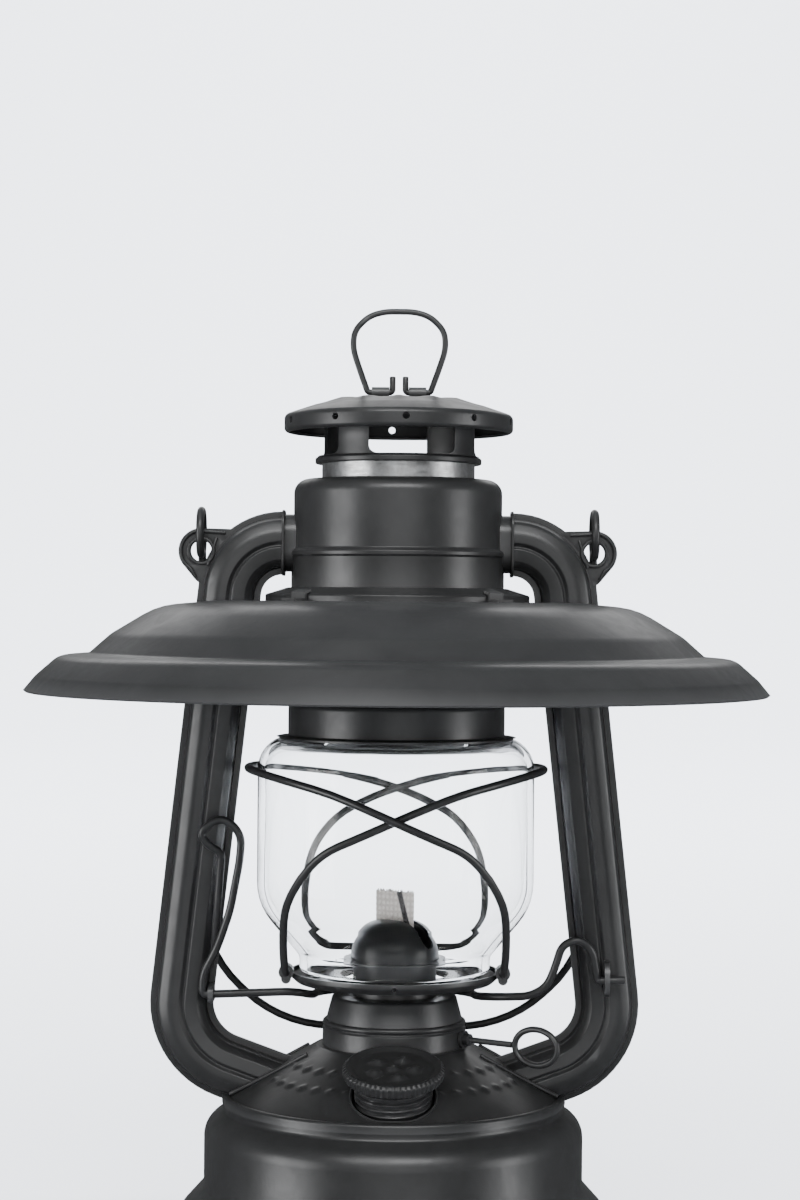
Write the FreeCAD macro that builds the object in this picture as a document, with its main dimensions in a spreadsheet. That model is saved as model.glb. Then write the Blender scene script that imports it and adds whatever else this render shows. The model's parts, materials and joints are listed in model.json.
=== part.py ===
import FreeCAD, Part
import math
import os
import re

from FreeCAD import Placement, Rotation, Vector
import Sketcher

# A small tubular kerosene lantern with a reflector shade.
# Frame: +Z up, +X to the right seen from the front, +Y away from the viewer,
# origin at the middle of the base. Millimetres throughout.

SIZES = [
    # alias, value, meaning
    ("sheet_wall", 0.8, "pressed steel sheet"),
    ("glass_wall", 2.2, "globe wall"),
    ("heavy_wire", 1.25, "radius of bail, guard and lever wire"),
    ("light_wire", 0.95, "radius of ring, knob and spindle wire"),
    ("base_radius", 66.6, "rolled seam at the foot of the tank"),
    ("tank_low_radius", 65.7, "lower band of the tank"),
    ("tank_mid_radius", 58.6, "middle band of the tank"),
    ("tank_top_radius", 52.3, "upper band of the tank"),
    ("pan_recess", 4.0, "underside of the tank above the ground"),
    ("low_band_top", 14.2, "top of the lower band"),
    ("mid_band_foot", 21.6, "foot of the middle band"),
    ("mid_band_top", 40.6, "top of the middle band"),
    ("top_band_foot", 45.0, "foot of the upper band"),
    ("lip_height", 49.8, "crimped lip round the tank top"),
    ("cone_foot", 49.2, "foot of the sloping tank top"),
    ("cone_head", 64.6, "head of the sloping tank top"),
    ("cone_foot_radius", 51.0, "outer radius of the slope"),
    ("cone_head_radius", 24.0, "inner radius of the slope"),
    ("collar_radius", 22.2, "burner collar"),
    ("collar_head", 72.4, "top of the burner collar"),
    ("burner_foot_radius", 21.1, "burner cone at its foot"),
    ("burner_head_radius", 19.2, "burner cone at its head"),
    ("burner_head", 79.8, "top of the burner cone"),
    ("basket_radius", 12.9, "air basket under the flame dome"),
    ("dome_flange_radius", 15.8, "flange under the flame dome"),
    ("dome_foot", 91.7, "foot of the flame dome"),
    ("dome_radius", 13.7, "flame dome"),
    ("dome_head", 102.8, "top of the flame dome"),
    ("flame_slot", 5.0, "width of the slot in the dome"),
    ("wick_azimuth", -33.0, "direction of wick width and spindle from +X"),
    ("wick_width", 14.0, "flat wick"),
    ("wick_thickness", 2.0, "flat wick"),
    ("wick_foot", 14.0, "lower end of the wick in the tank"),
    ("wick_head", 112.6, "upper end of the wick"),
    ("spindle_height", 67.5, "axis of the wick spindle"),
    ("spindle_offset", 4.0, "spindle axis behind the wick"),
    ("wheel_radius", 2.9, "wick wheels over the teeth"),
    ("knob_reach", 48.5, "middle of the knob loop from the lantern axis"),
    ("plate_radius", 32.3, "globe plate"),
    ("plate_foot", 83.9, "underside of the globe plate"),
    ("plate_head", 87.3, "rim of the globe plate"),
    ("plate_bore", 16.8, "opening of the globe plate round the burner"),
    ("globe_foot", 87.5, "lower edge of the globe"),
    ("globe_head", 169.2, "upper edge of the globe"),
    ("globe_radius", 42.9, "globe at its widest"),
    ("globe_foot_radius", 29.5, "lower neck of the globe"),
    ("globe_head_radius", 31.8, "upper neck of the globe"),
    ("hood_radius", 33.6, "band of the hood"),
    ("hood_flange_radius", 37.1, "flange of the hood"),
    ("hood_foot", 160.5, "underside of the hood flange"),
    ("hood_head", 170.2, "top of the hood band"),
    ("chimney_radius", 23.7, "sliding inner chimney"),
    ("chimney_head", 246.4, "top of the inner chimney"),
    ("guide_bore", 24.2, "bore of the fixed guide tube"),
    ("chamber_radius", 33.0, "lower wall of the air chamber"),
    ("chamber_upper_radius", 32.3, "upper wall of the air chamber"),
    ("chamber_foot", 205.9, "foot of the air chamber wall"),
    ("chamber_ridge", 216.0, "pressed ridge in the chamber wall"),
    ("chamber_head", 239.4, "top of the air chamber"),
    ("chamber_corner", 4.4, "rounding of the chamber top"),
    ("flange_radius", 41.0, "base flange of the chamber"),
    ("flange_foot", 201.2, "lower edge of the base flange"),
    ("flange_head", 203.7, "shoulder of the base flange"),
    ("tube_height", 219.6, "axis of the side tubes at the chamber"),
    ("tube_start", 35.7, "start of the side tube from the lantern axis"),
    ("tube_shoulder", 50.5, "corner of the tube axis at the top"),
    ("tube_hip", 67.65, "corner of the tube axis at the bottom"),
    ("tube_hip_height", 62.9, "height of that corner"),
    ("tube_end", 33.0, "inner end of the lower tube leg"),
    ("tube_foot_slope", 20.0, "fall of the lower leg towards the tank"),
    ("tube_top_bend", 16.5, "radius of the upper bend"),
    ("tube_low_bend", 21.2, "radius of the lower bend"),
    ("seam_half_width", 9.8, "half width over the seam flanges"),
    ("tube_half_width", 7.9, "half width of the tube"),
    ("tube_half_depth", 8.1, "half depth of the tube"),
    ("ear_reach", 61.0, "ear hole from the lantern axis"),
    ("ear_height", 217.0, "height of the ear hole"),
    ("ear_bore", 3.25, "radius of the ear hole"),
    ("ear_radius", 7.07, "outer radius of the ear"),
    ("bail_height", 222.7, "pivot axis of the bail"),
    ("bail_eye_radius", 6.8, "centreline of the bail eyes"),
    ("bail_offset", 3.0, "bail legs behind the middle of the eyes"),
    ("bail_foot", 63.0, "lowest stretch of the bail"),
    ("bail_lean", 9.0, "angle at which the bail hangs behind the tubes"),
    ("gallery_radius", 25.0, "vent gallery"),
    ("gallery_flange_radius", 25.8, "bead at the foot of the gallery"),
    ("gallery_foot", 244.2, "foot of the gallery"),
    ("gallery_window_foot", 246.6, "sill of the vent windows"),
    ("gallery_azimuth", 11.0, "first vent window from the front"),
    ("gallery_window_width", 26.5, "chord of a vent window"),
    ("cap_radius", 35.5, "vent cap"),
    ("cap_foot", 253.9, "lower edge of the cap"),
    ("cap_shoulder", 259.3, "shoulder of the cap"),
    ("cap_head", 264.6, "flat top of the cap"),
    ("cap_hole", 1.1, "radius of the small holes in the cap"),
    ("ring_height", 266.6, "pivot axis of the top ring"),
    ("ring_head", 291.7, "top of the ring, wire centreline"),
    ("ring_half_width", 14.4, "ring at its widest, wire centreline"),
    ("shade_radius", 114.9, "rim of the shade"),
    ("shade_foot", 174.5, "lower edge of the shade"),
    ("shade_head", 201.7, "flat top of the shade"),
    ("shade_bore", 42.0, "central opening of the shade"),
    ("shade_slot_reach", 64.5, "wide part of the shade slots from the axis"),
    ("shade_slot_half", 12.5, "half width of the shade slots"),
    ("shade_notch_reach", 70.0, "narrow part of the shade slots from the axis"),
    ("shade_notch_half", 4.0, "half width of the narrow part"),
    ("neck_radius", 11.7, "filler neck over its rings"),
    ("neck_tilt", 15.0, "forward lean of the filler neck"),
    ("neck_reach", 37.8, "filler neck in front of the lantern axis"),
    ("neck_base_height", 52.6, "floor of the pocket round the neck"),
    ("pocket_radius", 13.1, "pocket round the neck"),
    ("filler_cap_radius", 15.2, "filler cap"),
]

doc = FreeCAD.newDocument("BarnLantern")
sheet = doc.addObject("Spreadsheet::Sheet", "Sizes")
for row, (alias, number, meaning) in enumerate(SIZES, start=1):
    sheet.set(f"A{row}", meaning)
    sheet.set(f"B{row}", str(number))
    sheet.setAlias(f"B{row}", alias)
doc.recompute()

ALIASES = {alias for alias, number, meaning in SIZES}
NUMBERS = {alias: float(number) for alias, number, meaning in SIZES}
sub_parts = []


def bound(text):
    """The text of a size with every alias pointed at the sheet."""
    def point_at_sheet(match):
        word = match.group(0)
        return f"Sizes.{word}" if word in ALIASES else word
    return re.sub(r"[a-z_][a-z_0-9]*", point_at_sheet, str(text))


def size(text):
    """The present value of a size, read from the sheet."""
    return float(sheet.evalExpression(bound(text)))


# ---------------------------------------------------------------- outlines

def corner_of(entry):
    """One outline corner as two position texts and a rounding text."""
    across, up = entry[0], entry[1]
    rounding = entry[2] if len(entry) > 2 else 0
    return str(across), str(up), str(rounding)


def tangent_points(before, corner, after, radius):
    """Where an arc of the given radius starts and ends beside a corner."""
    to_before = (before - corner).normalize()
    to_after = (after - corner).normalize()
    opening = to_before.getAngle(to_after)
    reach = radius / math.tan(opening / 2)
    return corner + to_before * reach, corner + to_after * reach


def arc_at(before, corner, after, radius):
    """The tangent arc that rounds a corner, as three points."""
    first, last = tangent_points(before, corner, after, radius)
    bisector = ((before - corner).normalize() + (after - corner).normalize()).normalize()
    opening = (before - corner).getAngle(after - corner)
    centre = corner + bisector * (radius / math.sin(opening / 2))
    return first, centre - bisector * radius, last


def new_sketch(body, name, plane="XZ_Plane", offset=None):
    """An empty sketch on one of the body's own origin planes."""
    sketch = body.newObject("Sketcher::SketchObject", name)
    base = next(item for item in body.Origin.OriginFeatures if item.Role == plane)
    sketch.AttachmentSupport = [(base, "")]
    sketch.MapMode = "FlatFace"
    if offset is not None:
        sketch.AttachmentOffset = offset
    return sketch


def draw_outline(sketch, outline):
    """A closed outline whose corners and roundings are bound to the sheet."""
    corners = [corner_of(entry) for entry in outline]
    count = len(corners)
    places = [Vector(size(across), size(up), 0) for across, up, rounding in corners]
    radii = [size(rounding) for across, up, rounding in corners]
    starts, ends, arcs = [], [], []
    for index in range(count):
        before, corner, after = places[index - 1], places[index], places[(index + 1) % count]
        if radii[index] > 0:
            first, middle, last = arc_at(before, corner, after, radii[index])
            arcs.append((index, first, middle, last))
            ends.append(first)
            starts.append(last)
        else:
            ends.append(corner)
            starts.append(corner)
    geometry = [Part.Point(place) for place in places]
    geometry += [Part.LineSegment(starts[i], ends[(i + 1) % count]) for i in range(count)]
    sketch.addGeometry(geometry, False)
    for index in range(count):
        sketch.toggleConstruction(index)
    constraints, bindings = [], []
    for index, (across, up, rounding) in enumerate(corners):
        incoming = count + (index - 1) % count
        outgoing = count + index
        bindings.append((len(constraints), across))
        constraints.append(Sketcher.Constraint("DistanceX", index, 1, places[index].x))
        bindings.append((len(constraints), up))
        constraints.append(Sketcher.Constraint("DistanceY", index, 1, places[index].y))
        if radii[index] > 0:
            constraints.append(Sketcher.Constraint("PointOnObject", index, 1, incoming))
            constraints.append(Sketcher.Constraint("PointOnObject", index, 1, outgoing))
        else:
            constraints.append(Sketcher.Constraint("Coincident", incoming, 2, index, 1))
            constraints.append(Sketcher.Constraint("Coincident", outgoing, 1, index, 1))
    for index, first, middle, last in arcs:
        incoming = count + (index - 1) % count
        outgoing = count + index
        turn = (middle - first).cross(last - middle).z
        points = (first, middle, last) if turn > 0 else (last, middle, first)
        arc = sketch.addGeometry(Part.Arc(*points), False)
        arc_first, arc_last = (1, 2) if turn > 0 else (2, 1)
        constraints.append(Sketcher.Constraint("Tangent", incoming, 2, arc, arc_first))
        constraints.append(Sketcher.Constraint("Tangent", outgoing, 1, arc, arc_last))
        bindings.append((len(constraints), corners[index][2]))
        constraints.append(Sketcher.Constraint("Radius", arc, radii[index]))
    sketch.addConstraint(constraints)
    for number, text in bindings:
        if ALIASES.intersection(re.findall(r"[a-z_][a-z_0-9]*", text)):
            sketch.setExpression(f"Constraints[{number}]", bound(text))


def draw_circle(sketch, across, up, radius):
    """A circle whose middle and radius are bound to the sheet."""
    middle = Vector(size(across), size(up), 0)
    circle = sketch.addGeometry(Part.Circle(middle, Vector(0, 0, 1), size(radius)), False)
    first = sketch.addConstraint(Sketcher.Constraint("DistanceX", circle, 3, middle.x))
    second = sketch.addConstraint(Sketcher.Constraint("DistanceY", circle, 3, middle.y))
    third = sketch.addConstraint(Sketcher.Constraint("Radius", circle, size(radius)))
    for number, text in ((first, across), (second, up), (third, radius)):
        if ALIASES.intersection(re.findall(r"[a-z_][a-z_0-9]*", str(text))):
            sketch.setExpression(f"Constraints[{number}]", bound(text))


def shell_outline(outer, wall="sheet_wall"):
    """The closed outline of a sheet that lies to the left of an outer line."""
    corners = [corner_of(entry) for entry in outer]
    places = [Vector(size(across), size(up), 0) for across, up, rounding in corners]
    inner = []
    for index, (across, up, rounding) in enumerate(corners):
        ways = []
        if index > 0:
            ways.append((places[index] - places[index - 1]).normalize())
        if index < len(corners) - 1:
            ways.append((places[index + 1] - places[index]).normalize())
        normals = [Vector(-way.y, way.x, 0) for way in ways]
        shift = normals[0]
        bend = 0
        if len(normals) == 2:
            shift = (normals[0] + normals[1]) * (1 / (1 + normals[0].dot(normals[1])))
            bend = ways[0].cross(ways[1]).z
        inner_rounding = "0"
        if bend > 0 and size(rounding) > size(wall) + 0.15:
            inner_rounding = f"{rounding} - {wall}"
        if bend < 0 and size(rounding) > 0:
            inner_rounding = f"{rounding} + {wall}"
        inner.append((f"{across} + ({shift.x:.5f}) * {wall}",
                      f"{up} + ({shift.y:.5f}) * {wall}", inner_rounding))
    return corners + inner[::-1]


# ---------------------------------------------------------------- features

def spun_body(name, outline, plane="XZ_Plane"):
    """A closed outline of radius and height, spun about the vertical axis."""
    body = doc.addObject("PartDesign::Body", name)
    body.Label = name
    sketch = new_sketch(body, name + "_outline", plane)
    draw_outline(sketch, outline)
    spin = body.newObject("PartDesign::Revolution", name + "_spin")
    spin.Profile = sketch
    spin.ReferenceAxis = (sketch, ["V_Axis"])
    spin.Angle = 360
    sketch.Visibility = False
    body.Tip = spin
    doc.recompute()
    sub_parts.append(body)
    return body


def cut_through(body, name, sketch, copies=1, one_way=None):
    """A pocket from the sketch, in one direction or both, repeated round the axis."""
    volume_before = body.Shape.Volume
    pocket = body.newObject("PartDesign::Pocket", name)
    pocket.Profile = sketch
    if one_way is None:
        pocket.Type = "ThroughAll"
        pocket.Midplane = True
    else:
        pocket.Type = "Length"
        pocket.Length = abs(one_way)
        pocket.Reversed = one_way < 0
    sketch.Visibility = False
    body.Tip = pocket
    doc.recompute()
    if copies > 1:
        pattern = body.newObject("PartDesign::PolarPattern", name + "_round")
        pattern.Originals = [pocket]
        vertical = next(item for item in body.Origin.OriginFeatures if item.Role == "Z_Axis")
        pattern.Axis = (vertical, [""])
        pattern.Angle = 360
        pattern.Occurrences = copies
        body.Tip = pattern
        doc.recompute()
    if not body.Shape.Volume < volume_before - 0.01:
        raise RuntimeError(f"{name} cuts nothing")
    return body


def turned(degrees):
    """A sketch offset that turns an upright sketch plane about the vertical axis."""
    return Placement(Vector(0, 0, 0), Rotation(Vector(0, 1, 0), degrees))


def plain_part(name, shape, placement=None):
    """A sub-part whose shape is worked out from the sheet in code."""
    feature = doc.addObject("Part::Feature", name)
    feature.Label = name
    feature.Shape = shape.removeSplitter() if len(shape.Solids) == 1 else shape
    if placement is not None:
        feature.Placement = placement
    sub_parts.append(feature)
    return feature


# ---------------------------------------------------------------- wires

def rounded_path(points, bend=1000.0, closed=False):
    """Straight runs through the points, joined by tangent arcs.

    A fourth value on a point limits the radius of the bend there.
    """
    places = [Vector(*point[:3]) for point in points]
    bends = [point[3] if len(point) > 3 else bend for point in points]
    count = len(places)
    tight = 0.46
    starts, ends, arcs = {}, {}, {}
    for index, corner in enumerate(places):
        if not closed and index in (0, count - 1):
            starts[index] = corner
            ends[index] = corner
            continue
        before, after = places[index - 1], places[(index + 1) % count]
        opening = (before - corner).getAngle(after - corner)
        reach = tight * min((before - corner).Length, (after - corner).Length)
        radius = min(bends[index], reach * math.tan(opening / 2))
        first, middle, last = arc_at(before, corner, after, radius)
        arcs[index] = Part.Arc(first, middle, last).toShape()
        ends[index] = first
        starts[index] = last
    edges = []
    for index in range(count if closed else count - 1):
        following = (index + 1) % count
        edges.append(Part.LineSegment(starts[index], ends[following]).toShape())
        if following in arcs:
            edges.append(arcs[following])
    return Part.Wire(edges)


def swept_wire(points, radius, bend=1000.0, closed=False):
    """A round wire bent along the points."""
    path = rounded_path(points, bend, closed)
    start = path.Edges[0]
    place = start.valueAt(start.FirstParameter)
    way = start.tangentAt(start.FirstParameter)
    section = Part.Wire([Part.makeCircle(radius, place, way)])
    solid = path.makePipeShell([section], True, False)
    if not solid.isValid():
        raise RuntimeError("a bent wire is not a valid solid")
    return solid


def mirrored(shape):
    """The same shape on the other side of the middle plane."""
    return shape.mirror(Vector(0, 0, 0), Vector(1, 0, 0))


def prism(points, way):
    """A flat outline given the stated length and direction."""
    corners = [Vector(*point) for point in points]
    return Part.Face(Part.makePolygon(corners + corners[:1])).extrude(Vector(*way))


# ---------------------------------------------------------------- tank

def make_tank():
    """The stepped fuel tank: a wall, a recessed bottom and a sloping top."""
    spun_body("tank_shell", shell_outline([
        ("tank_low_radius", "sheet_wall + 0.1"),
        ("tank_low_radius", "low_band_top", 3.4),
        ("tank_mid_radius + 0.4", "mid_band_foot", 1.6),
        ("tank_mid_radius", "mid_band_foot + 1.4"),
        ("tank_mid_radius", "mid_band_top", 7.5),
        ("tank_top_radius", "top_band_foot", 1.6),
        ("tank_top_radius", "lip_height - sheet_wall - 0.6")]))
    spun_body("tank_bottom", shell_outline([
        (0, "pan_recess"),
        ("base_radius - 5.4", "pan_recess", 1.2),
        ("base_radius - 3.2", 0, 0.9),
        ("base_radius", 0, 1.1),
        ("base_radius", 3.2)]))
    tank_top = spun_body("tank_top", shell_outline([
        ("tank_top_radius + sheet_wall + 0.05", "lip_height - 2.8"),
        ("tank_top_radius + sheet_wall + 0.05", "lip_height", 1.0),
        ("cone_foot_radius + 0.5", "lip_height", 0.5),
        ("cone_foot_radius", "cone_foot", 0.5),
        ("cone_head_radius", "cone_head", 1.6),
        ("collar_radius - 3.4", "cone_head")]))
    tilt = Placement(Vector(0, -NUMBERS["neck_reach"], NUMBERS["neck_base_height"]),
                     Rotation(Vector(1, 0, 0), NUMBERS["neck_tilt"]))
    hole = new_sketch(tank_top, "filler_hole", "XY_Plane", tilt)
    draw_circle(hole, 0, 0, "pocket_radius")
    cut_through(tank_top, "filler_opening", hole)


def cone_solid(raised=0.0, reach=60.0):
    """Everything under the sloping tank top, raised by a small amount."""
    slope = ((size("cone_head") - size("cone_foot"))
             / (size("cone_foot_radius") - size("cone_head_radius")))
    head = size("cone_head") + raised + (size("cone_head_radius")) * slope
    foot = head - reach * slope
    apex = 0.001
    top = Part.makeCone(reach, apex, head - foot, Vector(0, 0, foot))
    base = Part.makeCylinder(reach, foot, Vector(0, 0, 0))
    lip_radius = size("tank_top_radius") + size("sheet_wall") + 0.1
    lip = Part.makeCylinder(lip_radius, size("lip_height") + 0.02)
    return base.fuse(top).fuse(lip)


def make_filler():
    """The filler neck in its pocket, the gasket and the screw cap."""
    tilt = Placement(Vector(0, -size("neck_reach"), size("neck_base_height")),
                     Rotation(Vector(1, 0, 0), size("neck_tilt")))
    wall = size("sheet_wall")
    ring_pitch, rings, ring_bulge = 1.9, 4, 0.7
    neck_root = size("neck_radius") - ring_bulge
    neck_top = 9.0
    tube = Part.makeCylinder(neck_root, neck_top + 3.0, Vector(0, 0, -3.0))
    tube = tube.fuse(Part.makeCylinder(size("pocket_radius"), wall, Vector(0, 0, -wall)))
    for turn in range(rings):
        height = 1.5 + turn * ring_pitch
        tube = tube.fuse(Part.makeTorus(neck_root, ring_bulge, Vector(0, 0, height)))
    tube = tube.cut(Part.makeCylinder(neck_root - wall, neck_top + 8.0, Vector(0, 0, -4.0)))
    pocket_depth = 14.0
    pocket = Part.makeCylinder(size("pocket_radius"), pocket_depth)
    pocket = pocket.cut(Part.makeCylinder(size("pocket_radius") - wall, pocket_depth))
    pocket.Placement = tilt
    pocket = pocket.common(cone_solid())
    tube.Placement = tilt
    plain_part("filler_neck", tube.fuse(pocket))

    gasket = Part.makeCylinder(neck_root + 0.9, 1.1).cut(Part.makeCylinder(10.0, 1.1))
    lift = tilt.multiply(Placement(Vector(0, 0, neck_top + 0.05), Rotation()))
    plain_part("filler_gasket", gasket, lift)

    cap = spun_body("filler_cap", [
        (0, 0.6), (8.0, 0.6, 0.8), (8.0, -5.6), (9.6, -5.6), (9.6, -0.05),
        ("filler_cap_radius - 1.6", -0.05), ("filler_cap_radius - 1.6", -1.2, 0.2),
        ("filler_cap_radius - 0.5", -1.2, 0.4), ("filler_cap_radius", 0.9, 0.8),
        ("filler_cap_radius", 1.6, 0.5), ("filler_cap_radius - 1.2", 2.6, 0.8),
        ("filler_cap_radius - 3.4", 1.4, 2.0), (0, 1.4)])
    cap.Placement = tilt.multiply(Placement(Vector(0, 0, neck_top + 1.25), Rotation()))


# ---------------------------------------------------------------- burner

def wick_frame(along=0.0, aside=0.0, height=0.0):
    """Placement in the wick's own directions: +X along its width, +Y behind it."""
    angle = math.radians(size("wick_azimuth"))
    place = Vector(along * math.cos(angle) - aside * math.sin(angle),
                   along * math.sin(angle) + aside * math.cos(angle), height)
    return Placement(place, Rotation(Vector(0, 0, 1), size("wick_azimuth")))


def centred_box(length, width, height, foot):
    """A box centred on the vertical axis that stands at the given height."""
    return Part.makeBox(length, width, height, Vector(-length / 2, -width / 2, foot))


def make_burner_shells():
    """Collar, cone, air basket and slotted flame dome."""
    collar = spun_body("burner_collar", shell_outline([
        ("collar_radius", "cone_head"),
        ("collar_radius", "collar_head - 2.6", 0.4),
        ("collar_radius - 0.6", "collar_head - 1.9", 0.3),
        ("collar_radius", "collar_head - 1.2", 0.4),
        ("collar_radius", "collar_head", 0.9),
        ("collar_radius - 3.0", "collar_head")]))
    bush_hole = new_sketch(collar, "bush_hole", "YZ_Plane",
                           Placement(Vector(0, 0, 0), Rotation(Vector(0, 1, 0), size("wick_azimuth"))))
    draw_circle(bush_hole, "spindle_offset", "spindle_height", 1.9)
    cut_through(collar, "bush_opening", bush_hole, one_way=-30.0)

    cone = spun_body("burner_cone", shell_outline([
        ("burner_foot_radius", "collar_head + 0.25"),
        ("burner_head_radius", "burner_head", 1.2),
        (0, "burner_head")]))
    slot = new_sketch(cone, "wick_slot", "XY_Plane", wick_frame())
    draw_outline(slot, [(-8.3, -2.3), (8.3, -2.3), (8.3, 2.3), (-8.3, 2.3)])
    cut_through(cone, "wick_opening", slot)
    air = new_sketch(cone, "air_hole", "XY_Plane",
                     Placement(Vector(0, 0, 0), Rotation(Vector(0, 0, 1), size("wick_azimuth") + 22.5)))
    draw_circle(air, 15.6, 0, 1.1)
    cut_through(cone, "air_openings", air, copies=8)

    spun_body("burner_basket", shell_outline([
        ("basket_radius", "burner_head + 0.02"),
        ("basket_radius", "dome_foot - sheet_wall", 0.5),
        ("dome_flange_radius", "dome_foot - sheet_wall")]))
    dome = spun_body("flame_dome", shell_outline([
        ("dome_radius", "dome_foot + 0.02"),
        ("dome_radius", "dome_head", 10.8),
        (0, "dome_head")]))
    flame = new_sketch(dome, "flame_slot_outline", "YZ_Plane",
                       Placement(Vector(0, 0, 0), Rotation(Vector(0, 1, 0), size("wick_azimuth"))))
    draw_outline(flame, [("-flame_slot / 2", "dome_foot + 3.6", 2.3),
                         ("flame_slot / 2", "dome_foot + 3.6", 2.3),
                         ("flame_slot / 2", "dome_head + 1"),
                         ("-flame_slot / 2", "dome_head + 1")])
    cut_through(dome, "flame_opening", flame)


def make_wick_works():
    """Wick, wick tube, spindle with its wheels and bush, and the wire knob."""
    wall = 0.6
    clearance = 0.6
    inner_width = size("wick_width") + 2 * clearance
    inner_depth = size("wick_thickness") + clearance
    foot, head = 56.0, 98.5
    tube = centred_box(inner_width + 2 * wall, inner_depth + 2 * wall, head - foot, foot)
    tube = tube.cut(centred_box(inner_width, inner_depth, head - foot + 2, foot - 1))
    window = Part.makeBox(12.0, 4.0, 7.4, Vector(-6.0, 0.9, size("spindle_height") - 3.7))
    plain_part("wick_tube", tube.cut(window), wick_frame())

    wick = centred_box(size("wick_width"), size("wick_thickness"),
                       size("wick_head") - size("wick_foot"), size("wick_foot"))
    plain_part("wick", wick, wick_frame())

    axis_place = Vector(0, size("spindle_offset"), size("spindle_height"))
    loop_half, loop_rise = 7.6, 5.6
    spindle_tip = size("knob_reach") - 0.966 * loop_half - size("light_wire") + 0.03
    spindle = Part.makeCylinder(size("light_wire"), spindle_tip + 9.0,
                                axis_place + Vector(-9.0, 0, 0), Vector(1, 0, 0))
    plain_part("wick_spindle", spindle, wick_frame())

    wheels = []
    teeth = 10
    for middle in (-4.0, 4.0):
        disc = Part.makeCylinder(size("wheel_radius"), 1.6, axis_place + Vector(middle - 0.8, 0, 0),
                                 Vector(1, 0, 0))
        disc = disc.cut(Part.makeCylinder(size("light_wire"), 1.6,
                                          axis_place + Vector(middle - 0.8, 0, 0), Vector(1, 0, 0)))
        for tooth in range(teeth):
            angle = 2 * math.pi * (tooth + 0.5) / teeth
            spot = Vector(middle - 0.8, axis_place.y + size("wheel_radius") * math.cos(angle),
                          axis_place.z + size("wheel_radius") * math.sin(angle))
            disc = disc.cut(Part.makeCylinder(0.5, 1.6, spot, Vector(1, 0, 0)))
        wheels.append(disc)
    plain_part("wick_wheels", Part.makeCompound(wheels), wick_frame())

    bush_start = size("collar_radius") - 2.0
    bush = Part.makeCylinder(1.85, 5.0, axis_place + Vector(bush_start, 0, 0), Vector(1, 0, 0))
    bush = bush.fuse(Part.makeCylinder(2.7, 1.0, axis_place + Vector(bush_start + 2.2, 0, 0),
                                       Vector(1, 0, 0)))
    bush = bush.cut(Part.makeCylinder(size("light_wire") + 0.08, 8.0,
                                      axis_place + Vector(bush_start - 1, 0, 0), Vector(1, 0, 0)))
    plain_part("spindle_bush", bush, wick_frame())

    reach = size("knob_reach")
    height, depth = axis_place.z, axis_place.y
    loop_points = []
    for step in range(12):
        angle = math.pi + 2 * math.pi * (step + 0.5) / 12
        loop_points.append((reach + loop_half * math.cos(angle), depth,
                            height + loop_rise * math.sin(angle)))
    loop = swept_wire(loop_points, size("light_wire"), closed=True)
    plain_part("wick_knob", loop, wick_frame())


# ---------------------------------------------------------------- side tubes

def tube_path():
    """Axis of the right side tube, from the air chamber down to the tank."""
    slope = math.tan(math.radians(size("tube_foot_slope")))
    end_height = size("tube_hip_height") - (size("tube_hip") - size("tube_end")) * slope
    corners = [Vector(size("tube_start"), 0, size("tube_height")),
               Vector(size("tube_shoulder"), 0, size("tube_height")),
               Vector(size("tube_hip"), 0, size("tube_hip_height")),
               Vector(size("tube_end"), 0, end_height)]
    first = arc_at(corners[0], corners[1], corners[2], size("tube_top_bend"))
    second = arc_at(corners[1], corners[2], corners[3], size("tube_low_bend"))
    return Part.Wire([
        Part.LineSegment(corners[0], first[0]).toShape(), Part.Arc(*first).toShape(),
        Part.LineSegment(first[2], second[0]).toShape(), Part.Arc(*second).toShape(),
        Part.LineSegment(second[2], corners[3]).toShape()])


def section_wire(points):
    """A section at the start of the tube, given as outward and forward offsets."""
    places = [(size("tube_start"), -forward, size("tube_height") + outward)
              for outward, forward in points]
    return Part.makePolygon([Vector(*place) for place in places + places[:1]])


def pressed_profile(inset):
    """Half of the pressed tube section, from its inner side to its outer side."""
    half, depth = size("tube_half_width"), size("tube_half_depth")
    right = [(half - inset, 0.8), (half - 0.7 - inset, 4.3), (half - 2.5 - 0.8 * inset, 6.8 - inset),
             (1.5, depth - inset), (0.0, depth - 0.5 - inset)]
    left = [(-across, forward) for across, forward in right[:-1]]
    return left + right[::-1]


def tube_envelope():
    """The full outside of a right side tube, seams included."""
    seam = size("seam_half_width")
    outline = [(-seam, 0.8)] + pressed_profile(0.0) + [(seam, 0.8)]
    both = outline + [(across, -forward) for across, forward in outline[::-1]]
    return tube_path().makePipeShell([section_wire(both)], True, False)


def ear_plate():
    """The lobe of a seam flange that carries the bail, on the front half of the seam."""
    reach, height = size("ear_reach"), size("ear_height")
    thickness = 0.8
    disc = Part.makeCylinder(size("ear_radius"), thickness, Vector(reach, 0, height), Vector(0, -1, 0))
    web = prism([(50.5, 0, 223.8), (reach, 0, height + size("ear_radius")),
                 (reach + 5.6, 0, height - 4.3), (62.2, 0, 207.4), (57.0, 0, 205.6)],
                (0, -thickness, 0))
    plate = disc.fuse(web)
    bend_middle = Vector(size("tube_start"), 5, size("tube_height") - size("tube_top_bend"))
    hollow = Part.makeCylinder(size("tube_top_bend") + size("tube_half_width") + 0.6, 10,
                               bend_middle, Vector(0, -1, 0))
    plate = plate.cut(hollow)
    eyelet = Part.makeCylinder(size("ear_bore") + 1.1, 1.5, Vector(reach, 0, height), Vector(0, -1, 0))
    hole = Part.makeCylinder(size("ear_bore"), 6, Vector(reach, 2, height), Vector(0, -1, 0))
    return plate.fuse(eyelet).cut(hole)


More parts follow.
